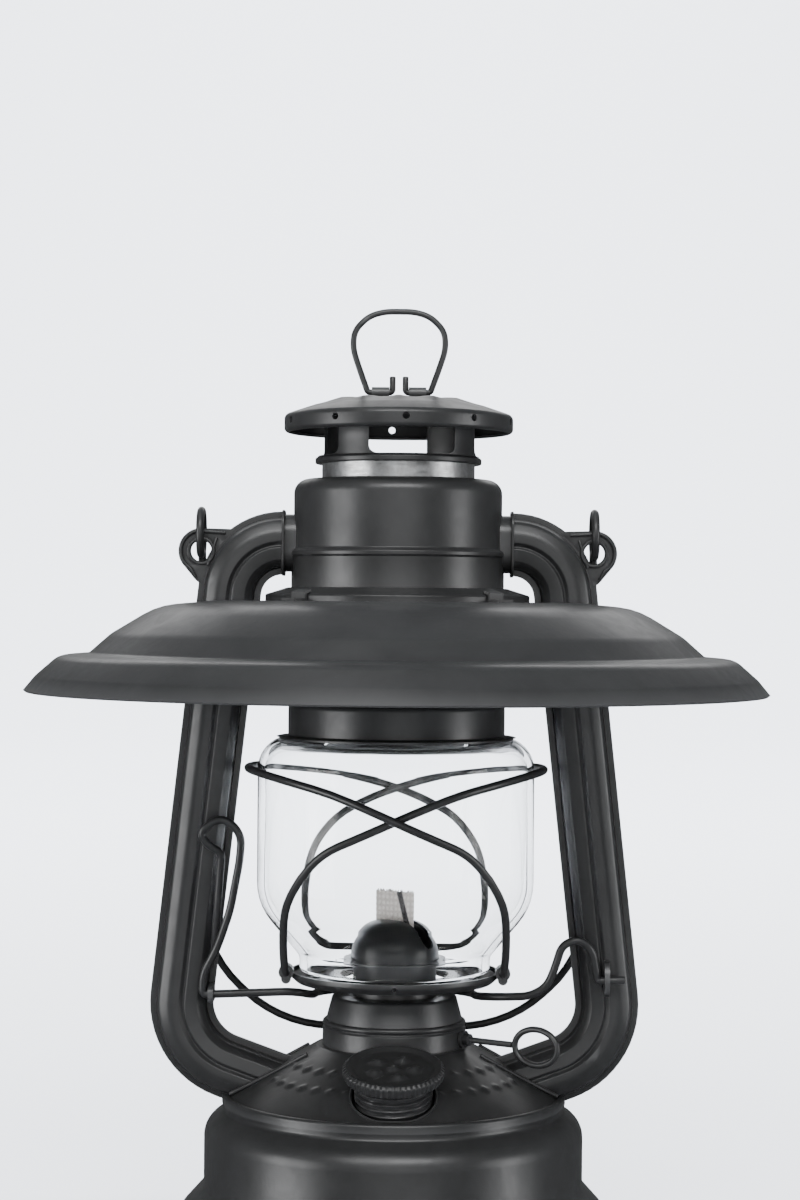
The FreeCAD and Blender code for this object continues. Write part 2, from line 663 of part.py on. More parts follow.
def make_side_tubes():
    """Each side tube is two pressed halves, seamed together, with an ear for the bail."""
    seam = size("seam_half_width")
    wall = size("sheet_wall")
    outer = [(-seam, 0.0), (-seam, 0.8)] + pressed_profile(0.0) + [(seam, 0.8), (seam, 0.0)]
    inner = pressed_profile(wall)
    inner_start = (inner[0][0], 0.0)
    inner_end = (inner[-1][0], 0.0)
    section = outer + [inner_end] + inner[::-1] + [inner_start]
    half = tube_path().makePipeShell([section_wire(section)], True, False)
    half = half.cut(cone_solid())
    front_right = half.fuse(ear_plate())
    rear_right = front_right.mirror(Vector(0, 0, 0), Vector(0, 1, 0))
    plain_part("right_tube_front", front_right)
    plain_part("right_tube_rear", rear_right)
    plain_part("left_tube_front", mirrored(front_right))
    plain_part("left_tube_rear", mirrored(rear_right))

    length, height, depth = 3.6, 20.4, 18.4
    block = Part.makeBox(length, depth, height,
                         Vector(size("tube_start") - length, -depth / 2, size("tube_height") - height / 2))
    block = block.makeFillet(5.0, [edge for edge in block.Edges
                                   if abs(edge.tangentAt(edge.FirstParameter).x) > 0.9])
    block = block.cut(Part.makeCylinder(size("chamber_upper_radius"), 300))
    block = block.cut(Part.makeCylinder(size("chamber_radius") + 0.55, 9.9,
                                        Vector(0, 0, size("tube_height") - 11.0)))
    block = block.cut(Part.makeCylinder(3.9, 60, Vector(0, 0, size("tube_height") + 3.2), Vector(1, 0, 0)))
    plain_part("right_tube_collar", block)
    plain_part("left_tube_collar", mirrored(block))


# ---------------------------------------------------------------- air chamber

def make_air_chamber():
    """The fixed chamber under the cap: wall, base flange, guide tube and spring."""
    chamber = spun_body("air_chamber", shell_outline([
        ("chamber_radius", "chamber_foot"),
        ("chamber_radius", "chamber_ridge - 0.7"),
        ("chamber_radius + 0.5", "chamber_ridge - 0.1"),
        ("chamber_radius + 0.5", "chamber_ridge + 1.0"),
        ("chamber_upper_radius", "chamber_ridge + 2.0"),
        ("chamber_upper_radius", "chamber_head", "chamber_corner"),
        ("guide_bore", "chamber_head")]), "YZ_Plane")
    port = new_sketch(chamber, "tube_port", "YZ_Plane")
    draw_circle(port, 0, "tube_height + 3.2", 3.9)
    cut_through(chamber, "tube_ports", port, copies=2, one_way=-60.0)

    spun_body("chamber_base", shell_outline([
        ("flange_radius", "flange_foot"),
        ("flange_radius", "flange_head", 0.7),
        ("chamber_radius + 1.0", "chamber_foot", 1.0),
        ("guide_bore + sheet_wall", "chamber_foot")]))
    spun_body("chimney_guide", [
        ("guide_bore", "flange_foot"), ("guide_bore + sheet_wall", "flange_foot"),
        ("guide_bore + sheet_wall", "chamber_foot + 6.0"), ("guide_bore", "chamber_foot + 6.0")])

    spring_foot, spring_head = 214.6, size("chamber_head") - size("sheet_wall") - 0.1
    coil_wire, turns, spring_radius = 0.6, 4, 27.0
    pitch = (spring_head - spring_foot - 2 * coil_wire) / turns
    helix = Part.makeHelix(pitch, pitch * turns, spring_radius)
    helix.translate(Vector(0, 0, spring_foot + coil_wire))
    start = Vector(spring_radius, 0, spring_foot + coil_wire)
    circle = Part.Wire([Part.makeCircle(coil_wire, start, Vector(0, 1, 0))])
    plain_part("chimney_spring", Part.Wire(helix).makePipeShell([circle], True, True))


# ---------------------------------------------------------------- hood and cap

def make_hood():
    """Everything that lifts off the globe: hood, inner chimney, gallery, cap and bracket."""
    spun_body("hood", shell_outline([
        ("hood_flange_radius", "hood_foot"),
        ("hood_flange_radius", "hood_foot + 0.01"),
        ("hood_radius", "hood_foot + 0.45", 0.35),
        ("hood_radius", "hood_head", 1.7),
        ("chimney_radius", "hood_head")]))
    spun_body("inner_chimney", [
        ("chimney_radius - 0.7", "hood_head - 1.4"), ("chimney_radius", "hood_head - 1.4"),
        ("chimney_radius", "chimney_head"), ("chimney_radius - 0.7", "chimney_head")])
    spun_body("spring_seat", [
        ("chimney_radius", 213.0), (28.2, 213.0), (28.2, 213.9), ("chimney_radius", 213.9)])
    gallery = spun_body("vent_gallery", [
        ("chimney_radius", "gallery_foot"),
        ("gallery_flange_radius", "gallery_foot", 0.5),
        ("gallery_flange_radius", "gallery_foot + 1.7", 0.6),
        ("gallery_radius", "gallery_foot + 2.2", 0.3),
        ("gallery_radius", "cap_shoulder"),
        ("gallery_radius - sheet_wall", "cap_shoulder"),
        ("gallery_radius - sheet_wall", "chimney_head"),
        ("chimney_radius", "chimney_head")])
    window = new_sketch(gallery, "vent_window", "XZ_Plane", turned(size("gallery_azimuth")))
    draw_outline(window, [
        ("-gallery_window_width / 2", "gallery_window_foot", 2.4),
        ("gallery_window_width / 2", "gallery_window_foot", 2.4),
        ("gallery_window_width / 2", "cap_shoulder - 1.2"),
        ("-gallery_window_width / 2", "cap_shoulder - 1.2")])
    cut_through(gallery, "vent_windows", window, copies=4, one_way=-40.0)

    cap = spun_body("vent_cap", shell_outline([
        ("cap_radius - 1.5", "cap_foot"),
        ("cap_radius", "cap_foot", 1.3),
        ("cap_radius", "cap_shoulder", 1.8),
        (27.0, "cap_head - 2.4", 2.0),
        (20.4, "cap_head - 0.7", 2.0),
        (11.0, "cap_head", 2.0),
        (0, "cap_head")]))
    hole = new_sketch(cap, "rim_hole", "XZ_Plane", turned(3.6))
    draw_circle(hole, 0, "cap_shoulder - 2.2", "cap_hole")
    cut_through(cap, "rim_holes", hole, copies=10, one_way=-40.0)


def make_ring():
    """Bracket with two hinge barrels on the cap, and the swinging wire ring."""
    axis = size("ring_height")
    wire = size("light_wire")
    strap = Part.makeBox(18.0, 4.6, 0.7, Vector(-9.0, -2.3, size("cap_head")))
    bracket = strap
    for start in (-8.5, 3.0):
        bracket = bracket.fuse(Part.makeCylinder(1.7, 5.5, Vector(start, 0, axis), Vector(1, 0, 0)))
    bracket = bracket.cut(Part.makeCylinder(wire + 0.1, 30, Vector(-15, 0, axis), Vector(1, 0, 0)))
    plain_part("ring_bracket", bracket)

    widest, head = size("ring_half_width"), size("ring_head")
    half = [(2.0, 0, axis + 5.0), (2.0, 0, axis, 1.0), (9.7, 0, axis, 1.2), (12.6, 0, axis + 8.0),
            (widest, 0, axis + 13.6), (widest - 0.4, 0, axis + 19.2), (9.6, 0, axis + 23.6),
            (4.6, 0, head)]
    other = [(-across, *rest) for across, *rest in half]
    plain_part("top_ring", swept_wire(half + other[::-1], wire))


# ---------------------------------------------------------------- globe

def make_globe():
    """The globe plate, the glass globe and the wire guard round it."""
    plate = spun_body("globe_plate", shell_outline([
        ("plate_bore", "plate_foot + 1.9"),
        ("plate_bore + 2.6", "plate_foot + 1.9", 0.6),
        ("plate_bore + 3.8", "plate_foot", 0.8),
        ("plate_radius - 2.0", "plate_foot", 1.4),
        ("plate_radius", "plate_foot + 1.8", 0.8),
        ("plate_radius", "plate_head")]))
    vent = new_sketch(plate, "plate_vent", "XY_Plane")
    draw_circle(vent, "plate_bore + 7.2", 0, 1.5)
    cut_through(plate, "plate_vents", vent, copies=18)
    peep = new_sketch(plate, "peep_hole", "XZ_Plane")
    draw_circle(peep, 0, "plate_head - 1.5", 0.7)
    cut_through(plate, "peep_opening", peep, one_way=-40.0)

    spun_body("globe", shell_outline([
        ("globe_foot_radius", "globe_foot"),
        ("globe_foot_radius", "globe_foot + 4.5", 4.0),
        ("globe_radius", "globe_foot + 20.5", 19.0),
        ("globe_radius", "hood_foot - 2.6", 10.0),
        ("globe_head_radius", "hood_foot - 0.2", 2.4),
        ("globe_head_radius", "globe_head")], "glass_wall"))

    lap = 2.9
    rising = [(-33.2, -6.0, 88.0), (-33.2, -15.5, 88.0), (-33.6, -20.5, 93.5), (-33.6, -25.5, 101.0),
              (-32.9, -31.0, 110.0), (-28.4, -36.4, 119.2), (-21.5, -41.0, 127.2)]
    crossing = [(-6.0, -45.9, 134.4), (6.0, -45.9, 139.8)]
    over = [(19.0, -42.4, 144.8), (34.0, -31.6, 148.2), (44.4, -13.0, 149.9), (46.4, 1.0, 150.0),
            (43.4, 16.5, 149.8), (33.0, 32.5, 148.2), (19.0, 42.2, 146.0)]
    back_crossing = [(6.0, 45.9, 142.4), (-6.0, 45.9, 138.6)]
    falling = [(-20.3, 42.4, 131.8), (-28.2, 37.6, 121.3), (-30.4, 35.4, 108.7)]
    front_half = rising + crossing + over + back_crossing + falling
    outer_half = []
    for across, depth, up in front_half:
        near_crossing = abs(across) < 7.0
        shifted = depth + math.copysign(lap, depth) if near_crossing else depth
        outer_half.append((-across, shifted, up))
    foot_run = [(-30.4, 34.0, 90.5), (30.4, 34.0, 90.5)]
    plain_part("guard_wire", swept_wire(front_half + foot_run + outer_half[::-1], size("heavy_wire")))

    lugs = []
    for side in (-1, 1):
        barrel = Part.makeCylinder(2.3, 5.0, Vector(side * 33.2, -7.0, 88.0), Vector(0, -1, 0))
        strap = Part.makeBox(3.0, 5.0, 1.9, Vector(side * 33.2 - 1.5, -12.0, 86.0))
        tip = Part.makeCylinder(1.5, 5.0, Vector(side * 33.2, -7.0, 86.0), Vector(0, -1, 0))
        lug = barrel.fuse(strap).fuse(tip)
        lug = lug.cut(Part.makeCylinder(size("heavy_wire"), 12, Vector(side * 33.2, 0, 88.0),
                                        Vector(0, -1, 0)))
        lugs.append(lug.cut(Part.makeCylinder(size("plate_radius"), 10, Vector(0, 0, 77.35))))
    plain_part("guard_lugs", Part.makeCompound(lugs))
    clip = Part.makeCylinder(2.2, 8.0, Vector(-4.0, 34.0, 90.5), Vector(1, 0, 0))
    clip = clip.fuse(Part.makeBox(8.0, 2.0, 5.0, Vector(-4.0, 31.8, 85.4)))
    clip = clip.cut(Part.makeCylinder(size("heavy_wire"), 12, Vector(-6.0, 34.0, 90.5), Vector(1, 0, 0)))
    clip = clip.cut(Part.makeCylinder(size("plate_radius"), 10, Vector(0, 0, 77.35)))
    plain_part("guard_clip", clip)


# ---------------------------------------------------------------- lever

LEVER_LEFT = Vector(-57.0, -8.4, 80.6)
LEVER_RIGHT = Vector(65.0, -12.4, 86.3)


def on_lever_axis(across):
    """The point of the lever's pivot axis at a given distance across."""
    share = (across - LEVER_LEFT.x) / (LEVER_RIGHT.x - LEVER_LEFT.x)
    place = LEVER_LEFT + (LEVER_RIGHT - LEVER_LEFT) * share
    return (place.x, place.y, place.z)


def make_lever():
    """The cranked wire that lifts the globe, with its thumb loop and two lugs."""
    handle = [(-55.6, -6.6, 92.0), (-54.2, -9.4, 112.0), (-53.2, -11.2, 124.6), (-57.4, -12.6, 126.8),
              (-59.8, -13.2, 130.8), (-53.2, -13.8, 136.0), (-46.9, -13.8, 130.6), (-47.6, -13.0, 122.0),
              (-50.4, -11.8, 107.0), (-54.4, -10.4, 95.0), (-58.8, -9.0, 87.0)]
    tight_bend = 1.5
    left_run = [on_lever_axis(-59.0) + (tight_bend,), on_lever_axis(-31.0)]
    bow = [(-24.9, -1.5, 79.6), (-24.6, 8.5, 79.0), (-17.0, 18.6, 78.6), (0.0, 23.6, 78.4),
           (17.0, 18.6, 78.6), (24.6, 8.5, 79.0), (25.2, -1.5, 79.6)]
    right_curve = [(32.0, -9.5, 80.6), (41.5, -12.6, 81.4), (46.6, -13.8, 84.6), (48.8, -14.6, 90.0),
                   (51.0, -15.0, 97.4), (56.2, -14.9, 99.4), (60.4, -14.2, 95.6)]
    right_run = [on_lever_axis(62.0) + (tight_bend,), on_lever_axis(70.6)]
    path = handle + left_run + bow + right_curve + right_run
    plain_part("lift_lever", swept_wire(path, size("heavy_wire"), 40.0))

    envelope = tube_envelope()
    way = (LEVER_RIGHT - LEVER_LEFT).normalize()
    bore = size("heavy_wire") + 0.1
    right_lug = Part.makeCylinder(5.2, 1.6, Vector(64.2, -10.6, 86.6), Vector(1, 0, 0))
    stretch = FreeCAD.Matrix()
    stretch.scale(1.0, 0.82, 1.06)
    right_lug.translate(Vector(0, 10.6, -86.6))
    right_lug = right_lug.transformGeometry(stretch)
    right_lug.translate(Vector(0, -10.6, 86.6))
    right_lug = right_lug.cut(Part.makeCylinder(bore, 20, LEVER_RIGHT - way * 10, way))
    plain_part("lever_lug_right", right_lug.cut(envelope))
    left_lug = Part.makeBox(1.6, 10.4, 5.0, Vector(-57.2, -11.2, 78.1))
    left_lug = left_lug.makeFillet(1.8, [edge for edge in left_lug.Edges
                                         if abs(edge.tangentAt(edge.FirstParameter).x) > 0.9
                                         and edge.CenterOfMass.y < -8])
    left_lug = left_lug.cut(Part.makeCylinder(bore, 20, LEVER_LEFT - way * 10, way))
    plain_part("lever_lug_left", left_lug.cut(mirrored(envelope)))


# ---------------------------------------------------------------- bail and shade

def make_bail():
    """The carrying handle: one wire with an eye at each end, hanging behind the tubes."""
    reach, pivot = size("ear_reach"), size("bail_height")
    radius, offset = size("bail_eye_radius"), size("bail_offset")
    wire = size("heavy_wire")
    eye_drop = math.sqrt(radius ** 2 - offset ** 2)
    foot = size("bail_foot")
    half = [(reach, offset, pivot - eye_drop + 0.6), (reach, offset, foot + 24.0), (36.0, offset, foot)]
    other = [(-across, depth, up) for across, depth, up in half]
    handle = swept_wire(half + other[::-1], wire, 60.0)
    for side in (-1, 1):
        eye = Part.makeTorus(radius, wire, Vector(side * reach, 0, pivot), Vector(1, 0, 0))
        handle = handle.fuse(eye)
    pivot_place = Vector(0, 0, pivot)
    lean = Placement(Vector(0, 0, 0), Rotation(Vector(1, 0, 0), size("bail_lean")), pivot_place)
    plain_part("bail", handle, lean)


def make_shade():
    """The reflector shade with its slots, and the clips that hang it on the base flange."""
    rise = "(shade_head - shade_foot) / 29.2"
    shade = spun_body("reflector_shade", shell_outline([
        ("shade_radius", "shade_foot"),
        ("shade_radius - 3.6", f"shade_foot + 4.6 * {rise}", 6.0),
        ("shade_radius - 10.6", f"shade_foot + 11.1 * {rise}", 7.0),
        ("shade_radius - 19.8", f"shade_foot + 11.9 * {rise}", 2.5),
        ("shade_radius - 26.5", f"shade_foot + 18.2 * {rise}", 14.0),
        ("shade_radius - 40.9", f"shade_foot + 27.4 * {rise}", 24.0),
        ("shade_radius - 58.0", "shade_head", 8.0),
        ("shade_bore", "shade_head")]), "YZ_Plane")
    slot = new_sketch(shade, "slot_outline", "XY_Plane")
    draw_outline(slot, [
        ("shade_notch_reach", "shade_notch_half", 1.5), ("shade_slot_reach", "shade_notch_half", 1.0),
        ("shade_slot_reach", "shade_slot_half", 3.0), (36.0, "shade_slot_half"),
        (36.0, "-shade_slot_half"), ("shade_slot_reach", "-shade_slot_half", 3.0),
        ("shade_slot_reach", "-shade_notch_half", 1.0), ("shade_notch_reach", "-shade_notch_half", 1.5)])
    cut_through(shade, "tube_slots", slot, copies=2, one_way=-300.0)

    clip = prism([(39.4, -3.0, 204.4), (41.2, -3.0, 203.85), (41.2, -3.0, 201.7), (46.0, -3.0, 201.7),
                  (46.0, -3.0, 202.5), (42.0, -3.0, 202.5), (42.0, -3.0, 204.45), (39.4, -3.0, 205.2)],
                 (0, 6.0, 0))
    clips = []
    for azimuth in (45, 135, 225, 315):
        copy = clip.copy()
        copy.rotate(Vector(0, 0, 0), Vector(0, 0, 1), azimuth)
        clips.append(copy)
    plain_part("shade_clips", Part.makeCompound(clips))


# ---------------------------------------------------------------- build and write

def check_document():
    """Stop if any object failed or any sub-part has no valid shape."""
    for item in doc.Objects:
        if "Invalid" in item.State or "Error" in item.State:
            raise RuntimeError(f"{item.Name} failed: {item.State}")
    for item in sub_parts:
        if item.Shape.isNull() or not item.Shape.isValid() or not item.Shape.Solids:
            raise RuntimeError(f"{item.Label} has no valid solid")


def write_parts():
    """One STEP file for each sub-part, named after its node."""
    os.makedirs("parts", exist_ok=True)
    for item in sub_parts:
        item.Shape.exportStep(f"parts/{item.Label}.step")
        print(f"{item.Label}: {item.Shape.Volume:.1f} mm3")


make_tank()
make_filler()
make_burner_shells()
make_wick_works()
make_side_tubes()
make_air_chamber()
make_hood()
make_ring()
make_globe()
make_lever()
make_bail()
make_shade()
doc.recompute()
check_document()
write_parts()
print(f"{len(sub_parts)} sub-parts")
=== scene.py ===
"""Looks of the barn lantern: fine meshes, materials, floor, light and camera.

Lengths are millimetres until a mesh is made, and Blender's own objects are in metres.
The lantern's axis is Z, +X is to the right and +Y points away from the viewer.
An outline is a list of (across, up, rounding) corners; a sharp corner has no rounding.
"""
import json
import math
import random

import bmesh
import bpy
from mathutils import Matrix, Vector, noise


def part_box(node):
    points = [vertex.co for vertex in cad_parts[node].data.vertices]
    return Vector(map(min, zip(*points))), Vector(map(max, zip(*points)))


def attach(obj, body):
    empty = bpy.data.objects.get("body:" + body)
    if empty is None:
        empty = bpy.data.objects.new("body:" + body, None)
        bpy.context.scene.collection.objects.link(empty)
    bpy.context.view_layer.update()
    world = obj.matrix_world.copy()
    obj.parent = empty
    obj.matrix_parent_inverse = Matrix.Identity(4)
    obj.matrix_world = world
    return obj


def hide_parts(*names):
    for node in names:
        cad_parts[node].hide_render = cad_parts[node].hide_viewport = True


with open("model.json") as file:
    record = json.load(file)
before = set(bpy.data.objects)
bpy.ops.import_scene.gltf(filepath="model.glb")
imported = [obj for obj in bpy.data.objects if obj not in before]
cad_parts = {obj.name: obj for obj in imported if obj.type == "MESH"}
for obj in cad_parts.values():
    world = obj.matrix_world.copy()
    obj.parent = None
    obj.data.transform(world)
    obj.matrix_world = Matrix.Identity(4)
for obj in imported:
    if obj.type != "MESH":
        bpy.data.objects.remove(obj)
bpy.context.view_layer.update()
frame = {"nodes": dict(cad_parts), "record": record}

MM = 0.001
SHEET = 0.8              # thickness of the pressed sheet
HEAVY_WIRE = 1.25        # radius of the wire of the guard, lever and bail
LIGHT_WIRE = 0.95        # radius of the wire of the top ring, knob and spindle
CREASE = 38.0            # an edge stays hard when its faces meet at more degrees than this
WIDEST_BEND = 1000.0     # lets a bend be as wide as the runs beside it allow
FRONT = -90.0            # the azimuth, in degrees, that faces the viewer
WICK_AZIMUTH = math.radians(-33.0)


def extent(node):
    """A node's reach from the axis, its foot and its head, in millimetres."""
    low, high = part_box(node)
    return high[0] / MM, low[2] / MM, high[2] / MM


# ---- materials

def new_material(name):
    """A material with one Principled shader, and a maker for further nodes."""
    material = bpy.data.materials.new(name)
    material.use_nodes = True
    tree = material.node_tree
    shader = tree.nodes["Principled BSDF"]

    def add(kind, inputs=None, **settings):
        node = tree.nodes.new(kind)
        for key, value in settings.items():
            setattr(node, key, value)
        for key, value in (inputs or {}).items():
            if hasattr(value, "is_output"):
                tree.links.new(value, node.inputs[key])
            else:
                node.inputs[key].default_value = value
        return node

    def link(output, socket):
        tree.links.new(output, shader.inputs[socket])

    coordinates = add("ShaderNodeTexCoord").outputs["Object"]
    return material, shader, add, link, coordinates


def noise_map(add, coordinates, grain, detail=3.0, rough=0.5, distortion=0.0):
    """Noise whose blotches are about the given number of millimetres wide."""
    return add("ShaderNodeTexNoise", {"Vector": coordinates, "Scale": 1000.0 / grain, "Detail": detail,
                                      "Roughness": rough, "Distortion": distortion}).outputs["Fac"]


def span(add, value, low, high, out_low, out_high):
    """A value brought from one range to another, clamped."""
    return add("ShaderNodeMapRange", {"Value": value, "From Min": low, "From Max": high,
                                      "To Min": out_low, "To Max": out_high}).outputs["Result"]


def mixed(add, share, first, second):
    """A colour between two colours, each an output or a plain (red, green, blue)."""
    ends = [colour if hasattr(colour, "is_output") else (*colour, 1.0) for colour in (first, second)]
    return add("ShaderNodeMix", {0: share, 6: ends[0], 7: ends[1]}, data_type="RGBA").outputs[2]


def bumped(add, link, layers):
    """Bump layers of (height, depth in millimetres), stacked on the shader's normal."""
    normal = None
    for height, depth in layers:
        inputs = {"Height": height, "Distance": depth * MM, "Strength": 1.0}
        if normal is not None:
            inputs["Normal"] = normal
        normal = add("ShaderNodeBump", inputs).outputs["Normal"]
    link(normal, "Normal")


def paint_material(name, dark, light, gloss):
    """Baked charcoal paint: faint orange peel, uneven sheen and slightly rubbed edges.

    gloss is the paint's mean roughness.
    """
    material, shader, add, link, place = new_material(name)
    broad = noise_map(add, place, 34.0, 4.0, 0.6, 0.4)
    peel = noise_map(add, place, 1.3, 2.0)
    grain = noise_map(add, place, 0.28, 1.0)
    colour = mixed(add, span(add, broad, 0.3, 0.7, 0.0, 1.0), dark, light)
    specks = span(add, noise_map(add, place, 0.9, 5.0, 0.7), 0.66, 0.74, 0.0, 0.35)
    colour = mixed(add, specks, colour, tuple(2.2 * part for part in light))
    edge = add("ShaderNodeNewGeometry").outputs["Pointiness"]
    rubbed = span(add, edge, 0.53, 0.62, 0.0, 0.5)
    colour = mixed(add, rubbed, colour, tuple(2.6 * part for part in light))
    link(colour, "Base Color")
    smear = noise_map(add, place, 9.0, 5.0, 0.65, 0.8)
    link(span(add, smear, 0.25, 0.75, gloss - 0.05, gloss + 0.07), "Roughness")
    bumped(add, link, [(peel, 0.016), (grain, 0.004)])
    shader.inputs["Metallic"].default_value = 0.45
    shader.inputs["Specular IOR Level"].default_value = 0.5
    return material


def galvanised_material():
    """Bare zinc-coated sheet with a fine spangle and drawing marks."""
    material, shader, add, link, place = new_material("galvanised")
    spangle = add("ShaderNodeTexVoronoi", {"Vector": place, "Scale": 420.0, "Randomness": 1.0})
    stretched = add("ShaderNodeMapping", {"Vector": place, "Scale": (1.0, 1.0, 26.0)}).outputs["Vector"]
    lines = noise_map(add, stretched, 9.0, 4.0, 0.7)
    tone = mixed(add, spangle.outputs["Distance"], (0.52, 0.53, 0.54), (0.36, 0.37, 0.38))
    soot = span(add, noise_map(add, place, 6.0, 5.0, 0.7), 0.42, 0.72, 0.0, 0.8)
    link(mixed(add, soot, tone, (0.19, 0.185, 0.18)), "Base Color")
    link(span(add, lines, 0.3, 0.7, 0.26, 0.48), "Roughness")
    bumped(add, link, [(lines, 0.02), (spangle.outputs["Distance"], 0.008)])
    shader.inputs["Metallic"].default_value = 0.95
    return material


def glass_material():
    """Clear blown glass: faint waves and a few tiny seeds."""
    material, shader, add, link, place = new_material("clear_glass")
    stretched = add("ShaderNodeMapping", {"Vector": place, "Scale": (1.0, 1.0, 0.45)}).outputs["Vector"]
    waves = noise_map(add, stretched, 21.0, 1.0)
    seeds = add("ShaderNodeTexVoronoi", {"Vector": place, "Scale": 95.0}).outputs["Distance"]
    seed = span(add, seeds, 0.0, 0.035, 1.0, 0.0)
    bumped(add, link, [(waves, 0.35), (seed, 0.05)])
    link(span(add, noise_map(add, place, 5.0, 3.0), 0.3, 0.8, 0.0, 0.012), "Roughness")
    shader.inputs["Base Color"].default_value = (0.985, 0.992, 0.99, 1.0)
    shader.inputs["Transmission Weight"].default_value = 1.0
    shader.inputs["IOR"].default_value = 1.24
    return material


def wick_material():
    """Unbleached woven cotton with warp and weft, painted shade in the weave's gaps, and stray darker
    fibres.
    """
    material, shader, add, link, place = new_material("wick_cotton")
    turned = add("ShaderNodeMapping", {"Vector": place, "Rotation": (0.0, 0.0, -WICK_AZIMUTH)},
                 vector_type="POINT").outputs["Vector"]
    warp, weft = (add("ShaderNodeTexWave", {"Vector": turned, "Scale": scale, "Distortion": wander,
                                            "Detail": 2.0, "Detail Scale": 3.0},
                      bands_direction=direction).outputs["Fac"]
                  for scale, wander, direction in ((210.0, 1.2, "X"), (170.0, 1.0, "Z")))
    fibre = noise_map(add, place, 0.35, 3.0, 0.7)

    def worked(operation, *values):
        return add("ShaderNodeMath", dict(enumerate(values)), operation=operation).outputs[0]

    colour = mixed(add, fibre, (0.70, 0.64, 0.58), (0.88, 0.85, 0.81))
    # Painted shade: where warp and weft dip apart, the cotton's colour is darkened as the weave's gaps
    # would be shaded.
    painted_weave_shade = span(add, worked("MULTIPLY", warp, weft), 0.0, 0.6, 0.45, 0.0)
    colour = mixed(add, painted_weave_shade, colour, (0.44, 0.38, 0.33))
    parts = add("ShaderNodeSeparateXYZ", {"Vector": turned}).outputs
    drift = worked("MULTIPLY_ADD", parts["Z"], 0.28, -0.0333)
    away = worked("ABSOLUTE", worked("ADD", parts["X"], drift))
    tracer = span(add, away, 0.0008, 0.0012, 1.0, 0.0)
    link(mixed(add, tracer, colour, (0.035, 0.03, 0.03)), "Base Color")
    bumped(add, link, [(warp, 0.18), (weft, 0.14), (fibre, 0.06)])
    shader.inputs["Roughness"].default_value = 0.92
    shader.inputs["Sheen Weight"].default_value = 0.25
    return material


def plain_material(name, grain, rough, dark, light, shine, depth, metallic):
    """One fine noise for colour, sheen and relief, as on drawn wire or moulded rubber."""
    material, shader, add, link, place = new_material(name)
    marks = noise_map(add, place, grain, 4.0, rough)
    link(mixed(add, marks, dark, light), "Base Color")
    link(span(add, marks, 0.3, 0.7, *shine), "Roughness")
    bumped(add, link, [(marks, depth)])
    shader.inputs["Metallic"].default_value = metallic
    return material


MATERIALS = {
    "painted_steel": paint_material("painted_steel", dark=(0.027, 0.0275, 0.028),
                                    light=(0.039, 0.0395, 0.040), gloss=0.36),
    "galvanised": galvanised_material(),
    "clear_glass": glass_material(),
    "wick_cotton": wick_material(),
    "gasket_rubber": plain_material("gasket_rubber", 0.7, 0.5, (0.012, 0.012, 0.012),
                                    (0.03, 0.029, 0.028), (0.62, 0.8), 0.03, 0.0),
    "spring_wire": plain_material("spring_wire", 0.5, 0.7, (0.22, 0.22, 0.23),
                                  (0.42, 0.42, 0.43), (0.25, 0.45), 0.01, 1.0),
}

ZINC_NODES = ("inner_chimney", "spring_seat", "wick_tube", "wick_wheels", "chimney_guide")
SLOT_OF = {"globe": "clear_glass", "wick": "wick_cotton", "filler_gasket": "gasket_rubber",
           "chimney_spring": "spring_wire", **dict.fromkeys(ZINC_NODES, "galvanised")}
BODY_OF = {node: body for body, nodes in frame["record"]["behaviour"]["bodies"].items() for node in nodes}


# ---- outlines

def arc_steps(before, corner, after, radius, step_angle=math.radians(9.0)):
    """Points along the tangent arc that rounds a corner."""
    to_before = (before - corner).normalized()
    to_after = (after - corner).normalized()
    opening = to_before.angle(to_after)
    bisector = (to_before + to_after).normalized()
    centre = corner + bisector * (radius / math.sin(opening / 2))
    first = corner + to_before * (radius / math.tan(opening / 2)) - centre
    last = corner + to_after * (radius / math.tan(opening / 2)) - centre
    turn = math.pi - opening
    count = max(2, math.ceil(turn / step_angle))
    points = []
    for step in range(count + 1):
        share = step / count
        way = (first * math.sin((1 - share) * turn) + last * math.sin(share * turn)) / math.sin(turn)
        points.append(centre + way)
    return points


def rounded(outline, closed=True):
    """An outline of (across, up, rounding) corners as points, with its corners as arcs."""
    corners = [Vector((entry[0], entry[1], 0.0)) for entry in outline]
    points = []
    for index, entry in enumerate(outline):
        at_end = not closed and index in (0, len(outline) - 1)
        if len(entry) < 3 or entry[2] <= 0 or at_end:
            points.append(corners[index])
        else:
            points += arc_steps(corners[index - 1], corners[index],
                                corners[(index + 1) % len(corners)], entry[2])
    return [(point.x, point.y) for point in points]


def shell(outer, wall=SHEET):
    """The closed outline of a sheet that lies to the left of an outer line."""
    places = [Vector((entry[0], entry[1])) for entry in outer]
    inner = []
    for index, entry in enumerate(outer):
        rounding = entry[2] if len(entry) > 2 else 0.0
        ways = []
        if index > 0:
            ways.append((places[index] - places[index - 1]).normalized())
        if index < len(outer) - 1:
            ways.append((places[index + 1] - places[index]).normalized())
        normals = [Vector((-way.y, way.x)) for way in ways]
        shift, turn = normals[0], 0.0
        if len(normals) == 2:
            shift = (normals[0] + normals[1]) / (1 + normals[0].dot(normals[1]))
            turn = ways[0].x * ways[1].y - ways[0].y * ways[1].x
        if turn > 0:
            rounding = rounding - wall if rounding > wall + 0.1 else 0.0
        elif turn < 0 and rounding > 0:
            rounding += wall
        inner.append((places[index].x + shift.x * wall, places[index].y + shift.y * wall, rounding))
    return list(outer) + inner[::-1]


# ---- meshes

def in_scene(name, data):
    """A new object in the scene for a mesh, a lamp or a camera."""
    item = bpy.data.objects.new(name, data)
    bpy.context.scene.collection.objects.link(item)
    return item


def smooth(mesh, sharp=CREASE):
    """Smooth shading for a mesh, with its hard edges kept."""
    mesh.shade_smooth()
    mesh.set_sharp_from_angle(angle=math.radians(sharp))


